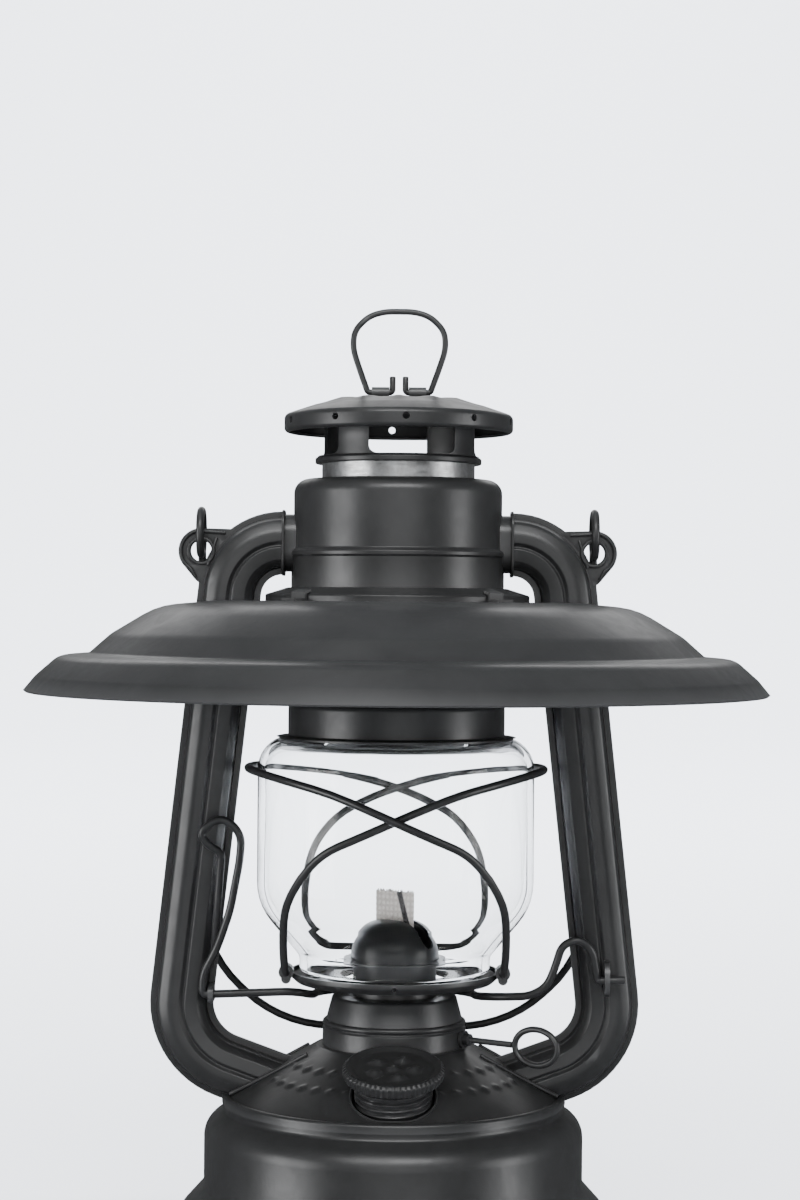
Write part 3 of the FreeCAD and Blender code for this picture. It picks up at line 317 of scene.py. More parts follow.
def made_from(name, bm, sharp=CREASE):
    """A smooth-shaded object from a bmesh in metres."""
    mesh = bpy.data.meshes.new(name)
    bm.to_mesh(mesh)
    bm.free()
    smooth(mesh, sharp)
    return in_scene(name, mesh)


def finished(name, bm, sharp=CREASE):
    """A smooth-shaded object from a bmesh in millimetres, with its faces turned outward."""
    bmesh.ops.recalc_face_normals(bm, faces=bm.faces)
    bmesh.ops.scale(bm, vec=(MM, MM, MM), verts=bm.verts)
    return made_from(name, bm, sharp)


def strip(bm, ring, following):
    """Faces between two rings of points that are closed on themselves."""
    for step in range(len(ring)):
        nearby = (step + 1) % len(ring)
        bm.faces.new((ring[step], ring[nearby], following[nearby], following[step]))


def circle_points(radius, sides=20, across=0.0, up=0.0):
    """Points round a circle in a flat outline."""
    turns = [math.tau * step / sides for step in range(sides)]
    return [(across + radius * math.cos(turn), up + radius * math.sin(turn)) for turn in turns]


def spin(name, outline, segments=192, relief=None, sharp=CREASE):
    """A closed outline of radius and height spun about the axis.

    relief gives a small change (outward, upward) for an azimuth, radius and height.
    """
    points = rounded(outline)
    bm = bmesh.new()
    rings = []
    for across, up in points:
        if across < 1e-6:
            rings.append([bm.verts.new((0.0, 0.0, up))])
            continue
        ring = []
        for step in range(segments):
            azimuth = math.tau * step / segments
            outward, upward = relief(azimuth, across, up) if relief else (0.0, 0.0)
            ring.append(bm.verts.new(((across + outward) * math.cos(azimuth),
                                      (across + outward) * math.sin(azimuth), up + upward)))
        rings.append(ring)
    for ring, following in zip(rings, rings[1:] + rings[:1]):
        if len(ring) == 1 and len(following) == 1:
            continue
        for step in range(segments):
            nearby = (step + 1) % segments
            corners = (ring[step % len(ring)], following[step % len(following)],
                       following[nearby % len(following)], ring[nearby % len(ring)])
            bm.faces.new(tuple(dict.fromkeys(corners)))
    return finished(name, bm, sharp)


def route_of(points, bend=WIDEST_BEND, closed=False):
    """Points along straight runs joined by tangent arcs; a fourth value limits a bend."""
    run_share = 0.46
    places = [Vector(point[:3]) for point in points]
    bends = [point[3] if len(point) > 3 else bend for point in points]
    route = []
    for index, corner in enumerate(places):
        if not closed and index in (0, len(places) - 1):
            route.append(corner)
            continue
        before, after = places[index - 1], places[(index + 1) % len(places)]
        opening = (before - corner).angle(after - corner)
        reach = run_share * min((before - corner).length, (after - corner).length)
        radius = min(bends[index], reach * math.tan(opening / 2))
        route += arc_steps(before, corner, after, radius, math.radians(7.0))
    return route


def swept(name, sections, route, closed=False, up=None, sharp=CREASE):
    """A skin over a section carried along a route; each section is a list of (side, lift)."""
    count = len(route)
    tangents = []
    for index in range(count):
        ahead = route[(index + 1) % count] if closed or index < count - 1 else route[index]
        behind = route[index - 1] if closed or index > 0 else route[index]
        tangents.append((ahead - behind).normalized())
    side = up.cross(tangents[0]) if up is not None else tangents[0].orthogonal()
    side = (side - tangents[0] * side.dot(tangents[0])).normalized()
    bm = bmesh.new()
    rings = []
    for index, (tangent, section) in enumerate(zip(tangents, sections)):
        if index > 0:
            side = (side - tangent * side.dot(tangent)).normalized()
        lift = tangent.cross(side)
        rings.append([bm.verts.new(route[index] + side * a + lift * b) for a, b in section])
    for ring, following in zip(rings, rings[1:]):
        strip(bm, ring, following)
    if closed:
        nearest = min(range(len(rings[0])), key=lambda turn: (rings[-1][0].co - rings[0][turn].co).length)
        strip(bm, rings[-1], rings[0][nearest:] + rings[0][:nearest])
    else:
        bm.faces.new(rings[0][::-1])
        bm.faces.new(rings[-1])
    return finished(name, bm, sharp)


def wire(name, points, radius, bend=WIDEST_BEND, closed=False):
    """A round wire bent along the points, with softly rounded ends."""
    route = route_of(points, bend, closed)
    if closed:
        return swept(name, [circle_points(radius)] * len(route), route, True)
    first_way = (route[1] - route[0]).normalized()
    last_way = (route[-1] - route[-2]).normalized()
    start, end = route[0], route[-1]
    end_shape = [(0.0, 0.45), (0.06, 0.72), (0.16, 0.9), (0.35, 1.0)]
    path = [(start + first_way * radius * along, radius * share) for along, share in end_shape]
    path += [(place, radius) for place in route[1:-1]]
    path += [(end - last_way * radius * along, radius * share) for along, share in end_shape[::-1]]
    return swept(name, [circle_points(each) for place, each in path], [place for place, each in path])


def both_sides(half):
    """A route's points to the right of the middle plane, then their mirror images backwards."""
    return half + [(-across, *rest) for across, *rest in half][::-1]


def plate(name, points, thickness, place, across, up, bevel=0.25):
    """A flat outline given a thickness and softened edges, in the plane of two directions."""
    bm = bmesh.new()
    face = bm.faces.new([bm.verts.new((a, b, 0.0)) for a, b in points])
    made = bmesh.ops.extrude_face_region(bm, geom=[face])
    top = [item for item in made["geom"] if isinstance(item, bmesh.types.BMVert)]
    bmesh.ops.translate(bm, vec=(0.0, 0.0, thickness), verts=top)
    rims = [edge for edge in bm.edges if len(edge.link_faces) == 2
            and abs(edge.link_faces[0].normal.z - edge.link_faces[1].normal.z) > 0.5]
    bmesh.ops.recalc_face_normals(bm, faces=bm.faces)
    if bevel > 0:
        bmesh.ops.bevel(bm, geom=rims, offset=bevel, segments=2, profile=0.6, affect="EDGES")
    across, up = Vector(across), Vector(up)
    turn = Matrix((across, up, across.cross(up))).transposed().to_4x4()
    bmesh.ops.transform(bm, matrix=Matrix.Translation(Vector(place)) @ turn, verts=bm.verts)
    return finished(name, bm)


def joined(name, pieces):
    """Several meshes as one object."""
    bm = bmesh.new()
    for piece in pieces:
        bm.from_mesh(piece.data)
        bpy.data.objects.remove(piece)
    return made_from(name, bm)


def modified(piece, kind, **settings):
    """A modifier on a piece, applied to its mesh at once."""
    modifier = piece.modifiers.new(kind.lower(), kind)
    for key, value in settings.items():
        setattr(modifier, key, value)
    graph = bpy.context.evaluated_depsgraph_get()
    mesh = bpy.data.meshes.new_from_object(piece.evaluated_get(graph))
    piece.modifiers.clear()
    piece.data = mesh


def cut(piece, cutters):
    """A piece with the space of the cutters taken out."""
    for cutter in cutters:
        modified(piece, "BOOLEAN", operation="DIFFERENCE", solver="EXACT", object=cutter)
        bpy.data.objects.remove(cutter)
    smooth(piece.data)
    return piece


def bar(points, thickness, place, across, up):
    """A cutter: a flat outline given a thickness."""
    return plate("cutter", points, thickness, place, across, up, bevel=0.0)


def drill(radius, foot, head, segments):
    """A cutter: a solid cylinder about the axis."""
    return spin("cutter", [(0.0, foot), (radius, foot), (radius, head), (0.0, head)], segments)


def stands_for(piece, *nodes):
    """A piece gets the material, slot and body of the CAD nodes that it stands for."""
    slot = SLOT_OF.get(nodes[0], "painted_steel")
    piece.data.materials.clear()
    piece.data.materials.append(MATERIALS[slot])
    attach(piece, BODY_OF[nodes[0]])
    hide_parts(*nodes)


# ---- tank

def with_steps(outline, index, count):
    """The outline with evenly spaced points in the run that follows a corner."""
    start, end = outline[index], outline[index + 1]
    extra = []
    for step in range(1, count):
        share = step / count
        extra.append((start[0] + (end[0] - start[0]) * share, start[1] + (end[1] - start[1]) * share))
    return outline[:index + 1] + extra + outline[index + 1:]


def angle_from(azimuth, middle):
    """The signed angle in radians from a middle azimuth that is given in degrees."""
    return (azimuth - math.radians(middle) + math.pi) % (2 * math.pi) - math.pi


def bump_shape(distance):
    """A soft hump: 1 in the middle and 0 from a distance of 1."""
    return max(0.0, 1.0 - distance * distance) ** 2


def lozenge_rows(azimuth, across, middle, rows, half_count, pitch):
    """Height of rows of small raised lozenges that follow the slope round the axis."""
    half_long, half_wide = 0.46 * pitch, 2.1
    height = 0.0
    for row_radius in rows:
        along = angle_from(azimuth, middle) * row_radius
        place = round(along / pitch)
        if abs(place) > half_count:
            continue
        off_along = abs(along - place * pitch) / half_long
        off_across = abs(across - row_radius) / half_wide
        height = max(height, bump_shape(min(1.0, off_along + off_across)))
    return height


FILLER_TILT = (Matrix.Translation(Vector((0.0, -37.8, 52.6)))
               @ Matrix.Rotation(math.radians(15.0), 4, "X"))
POCKET_RADIUS = 13.1
RIM_HEIGHT = 49.8
CONE_FOOT, CONE_HEAD = (51.0, 49.2), (24.0, 64.6)


def placed(piece, matrix):
    """A piece's mesh moved by a placement in millimetres."""
    turn, shift = matrix.to_3x3().to_4x4(), matrix.translation * MM
    piece.data.transform(Matrix.Translation(shift) @ turn)
    piece.data.update()
    return piece


def make_tank():
    """Stepped tank wall, its seamed bottom and the sloping top."""
    reach, foot, head = extent("tank_shell")
    middle, upper = reach - 7.1, reach - 13.4
    stands_for(spin("tank_wall", shell([
        (reach, foot), (reach, 14.2, 3.4), (middle + 0.4, 21.6, 1.6), (middle, 23.0),
        (middle, 40.6, 7.5), (upper, 45.0, 1.6), (upper, head)])), "tank_shell")
    reach = extent("tank_bottom")[0]
    stands_for(spin("tank_floor", shell([
        (0.0, 4.0), (reach - 5.4, 4.0, 1.2), (reach - 3.2, 0.0, 0.9), (reach, 0.0, 1.1),
        (reach, 3.2)])), "tank_bottom")

    def pressed(azimuth, across, up):
        raised = max(lozenge_rows(azimuth, across, block, (32.5, 39.5), 3, 5.4)
                     for block in (226.0, 314.0, 56.0, 124.0))
        return 0.0, 0.55 * raised

    lip, bore = upper + SHEET + 0.05, 18.8
    outline = with_steps(shell([
        (lip, 47.0), (lip, RIM_HEIGHT, 1.0), (CONE_FOOT[0] + 0.5, RIM_HEIGHT, 0.5), (*CONE_FOOT, 0.5),
        (*CONE_HEAD, 1.6), (bore, CONE_HEAD[1])]), 3, 44)
    top = spin("tank_slope", outline, 336, pressed)
    hole = placed(drill(POCKET_RADIUS, -14.0, 30.0, 96), FILLER_TILT)
    stands_for(cut(top, [hole]), "tank_top")


def pocket_height(azimuth, radius):
    """Where the filler pocket's wall meets the sloping top, along the neck's own axis."""
    slope = (CONE_HEAD[1] - CONE_FOOT[1]) / (CONE_FOOT[0] - CONE_HEAD[0])
    low, high = -4.0, 20.0
    for _ in range(30):
        middle = (low + high) / 2
        spot = FILLER_TILT @ Vector((radius * math.cos(azimuth), radius * math.sin(azimuth), middle))
        surface = CONE_FOOT[1] + (CONE_FOOT[0] - math.hypot(spot.x, spot.y)) * slope
        surface = max(RIM_HEIGHT, surface) if math.hypot(spot.x, spot.y) > 49.0 else surface
        low, high = (middle, high) if spot.z < surface else (low, middle)
    return low


NECK_RADIUS, NECK_HEIGHT = 11.0, 9.0


def make_neck():
    """The threaded neck and the pocket that sinks it into the tank's top."""
    pitch, depth, fade_length = 1.9, 0.7, 0.9
    count = 144

    def thread(azimuth, across, up):
        if across < NECK_RADIUS - 0.1 or across > NECK_RADIUS + 0.5:
            return 0.0, 0.0
        turn = up / pitch - azimuth / math.tau
        fade = (min(1.0, max(0.0, (up - 0.3) / fade_length))
                * min(1.0, max(0.0, (NECK_HEIGHT - 0.2 - up) / fade_length)))
        return depth * fade * max(0.0, math.cos(math.tau * turn)) ** 0.7, 0.0

    bore = NECK_RADIUS - SHEET
    tube = spin("neck_tube", with_steps([
        (NECK_RADIUS, 0.0), (NECK_RADIUS, NECK_HEIGHT), (bore, NECK_HEIGHT), (bore, -3.0),
        (NECK_RADIUS, -3.0)], 0, 54), count, thread)

    low_rings = [(NECK_RADIUS, -SHEET), (POCKET_RADIUS, -SHEET)]
    wall_rings = [(POCKET_RADIUS, 0.0), (POCKET_RADIUS + 0.1, 0.35), (POCKET_RADIUS - 0.35, 0.55),
                  (POCKET_RADIUS - SHEET, 0.25)]
    floor_rings = [(POCKET_RADIUS - SHEET, 0.0), (NECK_RADIUS, 0.0)]
    azimuths = [math.tau * step / count for step in range(count)]
    slope = [pocket_height(azimuth, POCKET_RADIUS) for azimuth in azimuths]
    flat = [0.0] * count
    bm = bmesh.new()
    rings = []
    for base, profile in ((flat, low_rings), (slope, wall_rings), (flat, floor_rings)):
        for reach, lift in profile:
            rings.append([bm.verts.new((reach * math.cos(turn), reach * math.sin(turn), height + lift))
                          for turn, height in zip(azimuths, base)])
    for ring, following in zip(rings, rings[1:] + rings[:1]):
        strip(bm, ring, following)
    pocket = finished("neck_pocket", bm, 50.0)
    stands_for(placed(joined("threaded_neck", [tube, pocket]), FILLER_TILT), "filler_neck")


def make_filler_cap():
    """The gasket and the screw cap with its gripping rim."""
    gasket = spin("gasket_ring", [(10.0, 9.05), (11.9, 9.05, 0.3), (11.9, 10.15, 0.3), (10.0, 10.15)], 96)
    stands_for(placed(gasket, FILLER_TILT), "filler_gasket")

    seat = 10.25
    reach, face, face_radius, face_steps = 15.2, 1.4, 10.5, 26
    grips, petals = 56, 5

    def grip(azimuth, across, up):
        outward = 0.0
        if across > reach - 0.9:
            outward = -0.34 * (0.5 - 0.5 * math.cos(grips * azimuth)) ** 0.8
        raised = 0.0
        if across < face_radius + 0.5 and up > 1.0:
            wave = 0.5 + 0.5 * math.cos(petals * azimuth + 0.6)
            ring = bump_shape((across - 6.2) / 2.9)
            raised = 1.3 * ring * wave ** 1.5 + 1.0 * bump_shape(across / 2.6)
        return outward, raised

    outline = [
        (0.0, 0.6), (8.0, 0.6, 0.8), (8.0, -5.6), (9.6, -5.6), (9.6, -0.05),
        (reach - 1.6, -0.05), (reach - 1.6, -1.2, 0.2), (reach - 0.5, -1.2, 0.4), (reach, 0.9, 0.8),
        (reach, 1.6, 0.5), (reach - 1.2, 2.6, 0.8), (reach - 3.4, face, 2.0), (face_radius, face)]
    outline += [(face_radius * (1 - step / face_steps), face) for step in range(1, face_steps + 1)]
    cap = spin("filler_screw_cap", outline, 336, grip)
    stands_for(placed(cap, FILLER_TILT @ Matrix.Translation(Vector((0, 0, seat)))), "filler_cap")


# ---- burner

WICK_TURN = Matrix.Rotation(WICK_AZIMUTH, 4, "Z")


def make_burner():
    """Collar, cone, air basket and slotted flame dome."""
    reach, foot, head = extent("burner_collar")
    stands_for(spin("burner_ring", shell([
        (reach, foot), (reach, head - 2.6, 0.4), (reach - 0.6, head - 1.9, 0.3),
        (reach, head - 1.2, 0.4), (reach, head, 0.9), (reach - 3.0, head)])), "burner_collar")
    reach, foot, head = extent("burner_cone")
    cone = spin("burner_cup", shell([(reach, foot), (19.2, head, 1.2), (0.0, head)]), 144)
    slot = placed(bar([(-8.3, -2.3), (8.3, -2.3), (8.3, 2.3), (-8.3, 2.3)], 8.0, (0, 0, head - 4.0),
                      (1, 0, 0), (0, 1, 0)), WICK_TURN)
    stands_for(cut(cone, [slot]), "burner_cone")
    reach, foot, head = extent("burner_basket")
    stands_for(spin("air_basket", shell([
        (12.9, foot), (12.9, head - SHEET, 0.5), (reach, head - SHEET)]), 144), "burner_basket")
    reach, foot, head = extent("flame_dome")
    dome = spin("slotted_dome", shell([(reach, foot), (reach, head, 10.8), (0.0, head)]), 192)
    half, sill, above = 2.5, foot + 3.6, head + 2.0
    gap = bar(rounded([(-half, sill, 2.3), (half, sill, 2.3), (half, above), (-half, above)]),
              60.0, (-30.0, 0, 0), (0, 1, 0), (0, 0, 1))
    stands_for(cut(dome, [placed(gap, WICK_TURN)]), "flame_dome")


def make_wick():
    """A flat woven wick with a frayed top and loose strands."""
    half_width, half_depth = 7.0, 1.0
    fringe, fray = 0.9, 2.4
    warp_pitch, weft_pitch, ply_pitch = 1.25, 1.1, 0.62
    foot, head = extent("wick")[1], extent("wick")[2] - fringe
    plain_to, fine_from, rows, columns = 60.0, 88.0, 110, 44
    heights = [foot, plain_to, fine_from]
    heights += [fine_from + (head - fine_from) * step / rows for step in range(1, rows + 1)]
    bm = bmesh.new()
    rings = []
    for height in heights:
        ring = []
        for side in (-1, 1):
            for step in range(columns + 1):
                along = -side * (2 * half_width * step / columns - half_width)
                edge = (1 - (abs(along) / half_width) ** 6) ** 0.5
                over = math.cos(math.tau * along / warp_pitch) * math.cos(math.tau * height / weft_pitch)
                weave = 0.13 * over + 0.1 * math.cos(math.tau * along / ply_pitch)
                depth = side * (half_depth - 0.28 + weave) * max(0.25, edge)
                frayed = height
                if height > head - fray:
                    ragged = noise.noise(Vector((along * 1.9, side * 3.0, 0.0)))
                    frayed += (height - head + fray) / fray * 0.55 * ragged
                ring.append(bm.verts.new((along * 0.985, depth, frayed)))
        rings.append(ring)
    for ring, following in zip(rings, rings[1:]):
        strip(bm, ring, following)
    bm.faces.new(rings[0])
    near, far = rings[-1][:columns + 1], rings[-1][:columns:-1]
    for step in range(columns):
        bm.faces.new((near[step], near[step + 1], far[step + 1], far[step]))
    cloth = finished("wick_cloth", bm, 60.0)
    draw = random.Random(7)
    strands = []
    for _ in range(58):
        along = draw.uniform(-6.7, 6.7)
        depth = draw.uniform(-0.6, 0.6)
        rise = draw.uniform(0.3, 0.85)
        lean = draw.uniform(-0.35, 0.35)
        points = [(along, depth, head - 1.2), (along + 0.2 * lean, depth, head - 0.2),
                  (along + lean, depth * 1.1, head + rise)]
        sections = [circle_points(radius, 6) for radius in (0.16, 0.15, 0.06)]
        strands.append(swept("strand", sections, [Vector(each) for each in points]))
    cloth = joined("woven_wick", [cloth] + strands)
    stands_for(placed(cloth, WICK_TURN), "wick")


def make_knob():
    """The wire loop that turns the wick's spindle."""
    offset, height = 4.0, 67.5
    reach, half, rise, corners = 48.5, 7.6, 5.6, 12
    loop = []
    for step in range(corners):
        angle = math.pi + math.tau * (step + 0.5) / corners
        loop.append((reach + half * math.cos(angle), offset, height + rise * math.sin(angle)))
    stands_for(placed(wire("knob_loop", loop, LIGHT_WIRE, closed=True), WICK_TURN), "wick_knob")
    inner_end = -9.0
    loop_side = reach - 0.966 * half
    tip = loop_side - LIGHT_WIRE + 0.03
    shaft = wire("spindle_shaft", [(inner_end, offset, height), (tip, offset, height)], LIGHT_WIRE)
    stands_for(placed(shaft, WICK_TURN), "wick_spindle")


# ---- side tubes

def mirrored(name, piece, axis=0):
    """A copy of a piece on the other side of the middle plane across an axis."""
    mesh = piece.data.copy()
    scale = [1.0, 1.0, 1.0]
    scale[axis] = -1.0
    mesh.transform(Matrix.Diagonal((*scale, 1.0)))
    mesh.flip_normals()
    return in_scene(name, mesh)


def facing(piece, across, up):
    """A spun piece turned so that its axis points to the viewer, at a place in the tubes' plane."""
    turn = Matrix.Rotation(math.pi / 2, 4, "X")
    return placed(piece, Matrix.Translation(Vector((across, 0, up))) @ turn)


def tube_section(inset=0.0):
    """Half of the pressed tube, (outward, forward): a broad hat with a groove along its middle."""
    half, deep = 7.9 - inset, 8.1 - inset
    return rounded([
        (-half, 0.8), (-half + 0.5, 4.4, 1.6), (-half + 1.8, 6.0, 0.8), (-half + 2.7, 6.9, 0.7),
        (-1.5, deep - 0.5, 0.5), (-0.7, deep - 1.3, 0.4), (0.4, deep - 0.1, 0.6), (3.2, deep, 5.0),
        (half - 1.1, deep - 1.7, 2.2), (half - 0.3, 3.6, 1.6), (half, 0.8)], closed=False)


TUBE_START, TUBE_UPPER, TUBE_LOWER, TUBE_END = (Vector(place) for place in (
    (35.7, 0, 219.6), (50.5, 0, 219.6), (67.65, 0, 62.9), (33.0, 0, 50.29)))
UPPER_BEND, LOWER_BEND = 16.5, 21.2


def tube_skin():
    """The front half of the right tube with its seam, swept from the chamber down to the tank."""
    seam, seam_edge, seam_depth, longest = 9.8, 0.05, 0.7, 6.0
    step_angle = math.radians(6.0)
    route = [TUBE_START, *arc_steps(TUBE_START, TUBE_UPPER, TUBE_LOWER, UPPER_BEND, step_angle),
             *arc_steps(TUBE_UPPER, TUBE_LOWER, TUBE_END, LOWER_BEND, step_angle), TUBE_END]
    dense = [route[0]]
    for start, end in zip(route, route[1:]):
        pieces = max(1, round((end - start).length / longest))
        dense += [start.lerp(end, step / pieces) for step in range(1, pieces + 1)]
    inner = tube_section(SHEET)
    section = [(-seam, seam_edge), (-seam, seam_depth), *tube_section(), (seam, seam_depth),
               (seam, seam_edge), (inner[-1][0], seam_edge), *inner[::-1], (inner[0][0], seam_edge)]
    return swept("half", [section] * len(dense), dense, up=Vector((0, -1, 0)), sharp=50.0)


def ear_pieces():
    """The ear that holds the bail: a pierced web with a collar, a bead round it and a fillet."""
    reach, height, radius, bore = 61.0, 217.0, 7.07, 3.25
    bead_radius, proud = 6.3, -1.0
    face = ((0, 0, 0), (1, 0, 0), (0, 0, 1))
    ear = plate("ear", circle_points(radius, 64, reach, height), SHEET, *face, bevel=0.0)
    web = plate("web", rounded([
        (50.5, 223.8), (reach, height + radius), (reach + 5.6, height - 4.3), (62.2, 207.4, 3.0),
        (57.0, 205.6)]), SHEET, *face, bevel=0.0)
    modified(ear, "BOOLEAN", operation="UNION", solver="EXACT", object=web)
    bpy.data.objects.remove(web)
    tube_bend = facing(drill(25.0, -5.0, 5.0, 128), TUBE_START.x, TUBE_START.z - UPPER_BEND)
    cut(ear, [tube_bend, facing(drill(bore, -5.0, 5.0, 48), reach, height)])
    modified(ear, "BEVEL", width=0.2 * MM, segments=2, limit_method="ANGLE", angle_limit=math.radians(40))
    collar = spin("rim", [(bore, 0.0), (4.5, 0.0), (4.5, 1.5, 0.5), (bore, 1.5, 0.5)], 64)
    bow = []
    for degrees in range(80, -61, -10):
        turn = math.radians(degrees)
        bow.append((reach + bead_radius * math.cos(turn), proud, height + bead_radius * math.sin(turn)))
    bead = wire("bead", [(53.4, proud, 222.6), *bow, (62.6, proud, 208.6)], 0.6)
    fillet = wire("bead", [(56.2, proud, 221.2), (58.9, proud, 212.4)], 0.5)
    return [ear, facing(collar, reach, height), bead, fillet]


def make_side_tubes():
    """Two pressed halves to each tube, seamed together, with an ear for the bail."""
    foot_seam = wire("bead", [(50.4, -9.0, 50.0), (40.0, -9.0, 55.2), (26.5, -9.0, 62.6)], 0.7)
    front = joined("right_tube_face", [tube_skin(), *ear_pieces(), foot_seam])
    rear = mirrored("right_tube_back", front, 1)
    for name, piece, node in (("left_tube_face", front, "left_tube_front"),
                              ("left_tube_back", rear, "left_tube_rear")):
        stands_for(mirrored(name, piece), node)
    stands_for(front, "right_tube_front")
    stands_for(rear, "right_tube_rear")


def make_tube_collars():
    """The saddle between each tube and the air chamber, with the thin flange that it ends in."""
    low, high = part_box("right_tube_collar")
    end, half_deep = high[0] / MM, high[1] / MM
    middle, half_high = (low[2] + high[2]) / 2 / MM, (high[2] - low[2]) / 2 / MM
    flange, depth = 0.7, 5.0

    def upright(inset, rounding):
        wide, tall = half_deep - inset, half_high - inset
        return rounded([(-wide, -tall, rounding), (wide, -tall, rounding), (wide, tall, rounding),
                        (-wide, tall, rounding)])

    face = ((0, 1, 0), (0, 0, 1))
    rim = plate("rim", upright(0.0, 5.0), flange, (end - flange, 0, middle), *face)
    saddle = plate("saddle", upright(1.3, 6.2), depth, (end - depth - 0.4, 0, middle), *face)
    collar = joined("right_collar", [rim, cut(saddle, [drill(32.2, 200.0, 245.0, 192)])])
    stands_for(mirrored("left_collar", collar), "left_tube_collar")
    stands_for(collar, "right_tube_collar")


# ---- chamber and hood

def radial_cutters(points, azimuths, near=10.0, far=45.0):
    """One cutter for each azimuth: a flat (across, up) outline pushed outward from the axis."""
    cutters = []
    for azimuth in azimuths:
        out = Vector((math.cos(azimuth), math.sin(azimuth), 0.0))
        across = Vector((-out.y, out.x, 0.0))
        cutters.append(bar(points, far - near, out * near, across, (0, 0, 1)))
    return [joined("cutter", cutters)]


def make_chamber():
    """The fixed drum under the cap, its base flange and the chimney that slides in it."""
    _, foot, head = extent("air_chamber")
    ridge, lower, upper = 216.0, 33.0, 32.3
    stands_for(spin("chamber_drum", shell([
        (lower, foot), (lower, ridge - 0.7, 0.3), (33.5, ridge - 0.1, 0.3), (33.5, ridge + 1.0, 0.5),
        (upper, ridge + 2.0, 0.6), (upper, head, 4.4), (24.2, head)]), 256), "air_chamber")
    reach, foot, _ = extent("chamber_base")
    stands_for(spin("chamber_flange", shell([
        (reach, foot), (reach, 203.7, 0.7), (34.0, 205.9, 1.0), (25.0, 205.9)]), 192), "chamber_base")
    reach, foot, head = extent("inner_chimney")
    inside = reach - 0.7
    stands_for(spin("chimney_tube", [
        (inside, foot), (reach, foot), (reach, head), (inside, head)], 192), "inner_chimney")


def make_hood():
    """The hood and the vent gallery, which share the chimney's bore."""
    bore = 23.7
    reach, foot, head = extent("hood")
    stands_for(spin("hood_lid", shell([
        (reach, foot), (reach, foot + 0.02), (33.6, foot + 0.45, 0.35), (33.6, head, 1.7),
        (bore, head)]), 256), "hood")

    reach, foot, head = extent("vent_gallery")
    drum, ledge = 25.0, 246.4
    gallery = spin("pierced_gallery", [
        (bore, foot), (reach, foot, 0.5), (reach, foot + 1.7, 0.6), (drum, foot + 2.2, 0.3),
        (drum, head), (drum - SHEET, head), (drum - SHEET, ledge), (bore, ledge)], 256)
    half, sill, lintel = 13.25, ledge + 0.2, head - 1.2
    window = rounded([(-half, sill, 2.4), (half, sill, 2.4), (half, lintel), (-half, lintel)])
    middles = [math.radians(FRONT + 11.0 + 90.0 * turn) for turn in range(4)]
    stands_for(cut(gallery, radial_cutters(window, middles)), "vent_gallery")


def make_cap():
    """The domed and embossed cap with its row of rim holes, and the ring that swings on it."""
    reach, foot, head = extent("vent_cap")
    shoulder, hole_drop = head - 5.3, 2.2

    def embossed(azimuth, across, up):
        if across > 28.5 or across < 10.0 or up < shoulder:
            return 0.0, 0.0
        wave = 0.5 + 0.5 * math.cos(12 * azimuth)
        return 0.0, 0.5 * wave ** 2 * bump_shape((across - 19.0) / 8.0)

    outline = shell([
        (reach - 1.5, foot), (reach, foot, 1.3), (reach, shoulder, 1.8), (27.0, head - 2.4, 2.0),
        (20.4, head - 0.7, 2.0), (11.0, head, 2.0), (0.0, head)])
    for corner, count in ((5, 10), (4, 12), (3, 12)):
        outline = with_steps(outline, corner, count)
    cap = spin("domed_cap", outline, 288, embossed)
    hole = circle_points(1.1, up=shoulder - hole_drop)
    azimuths = [math.radians(FRONT + 3.6 + 36.0 * turn) for turn in range(10)]
    stands_for(cut(cap, radial_cutters(hole, azimuths, 20.0)), "vent_cap")

    axis, widest, top = 266.6, 14.4, 291.7
    half = [(2.0, 0, axis + 5.0), (2.0, 0, axis, 1.0), (9.7, 0, axis, 1.2), (12.6, 0, axis + 8.0),
            (widest, 0, axis + 13.6), (widest - 0.4, 0, axis + 19.2), (9.6, 0, axis + 23.6),
            (4.6, 0, top)]
    stands_for(wire("hanging_ring", both_sides(half), LIGHT_WIRE), "top_ring")


# ---- globe, guard, lever

def make_globe():
    """The ribbed and pierced globe plate and the glass globe."""
    reach, foot, head = extent("globe_plate")
    bore, ribs, holes, hole_reach, peep_drop = 16.8, 36, 18, 24.0, 1.5

    def ribbed(azimuth, across, up):
        if across < bore + 3.5 or across > reach - 3.0:
            return 0.0, 0.0
        wave = max(0.0, math.cos(ribs * azimuth)) ** 2
        return 0.0, 0.35 * wave * bump_shape((across - 24.6) / 5.2)

    outline = shell([
        (bore, foot + 1.9), (bore + 2.6, foot + 1.9, 0.6), (bore + 3.8, foot, 0.8),
        (reach - 2.0, foot, 1.4), (reach, foot + 1.8, 0.8), (reach, head)])
    pan_corner = 8
    pan = spin("ribbed_plate", with_steps(outline, pan_corner, 24), 288, ribbed)
    cutters = [bar(circle_points(1.5), 8.0, (across, depth, foot - 2.0), (1, 0, 0), (0, 1, 0))
               for across, depth in circle_points(hole_reach, holes)]
    cutters += radial_cutters(circle_points(0.7, up=head - peep_drop), [math.radians(FRONT)], 25.0)
    stands_for(cut(pan, [joined("cutter", cutters)]), "globe_plate")

    reach, foot, head = extent("globe")
    shoulder, low_neck, high_neck, glass_wall = 160.5, 29.5, 31.8, 2.2
    stands_for(spin("glass_globe", shell([
        (low_neck, foot, 0.9), (low_neck, foot + 4.5, 4.0), (reach, foot + 20.5, 19.0),
        (reach, shoulder - 2.6, 10.0), (high_neck, shoulder - 0.2, 2.4), (high_neck, head, 0.9)],
        glass_wall), 256, sharp=80.0), "globe")


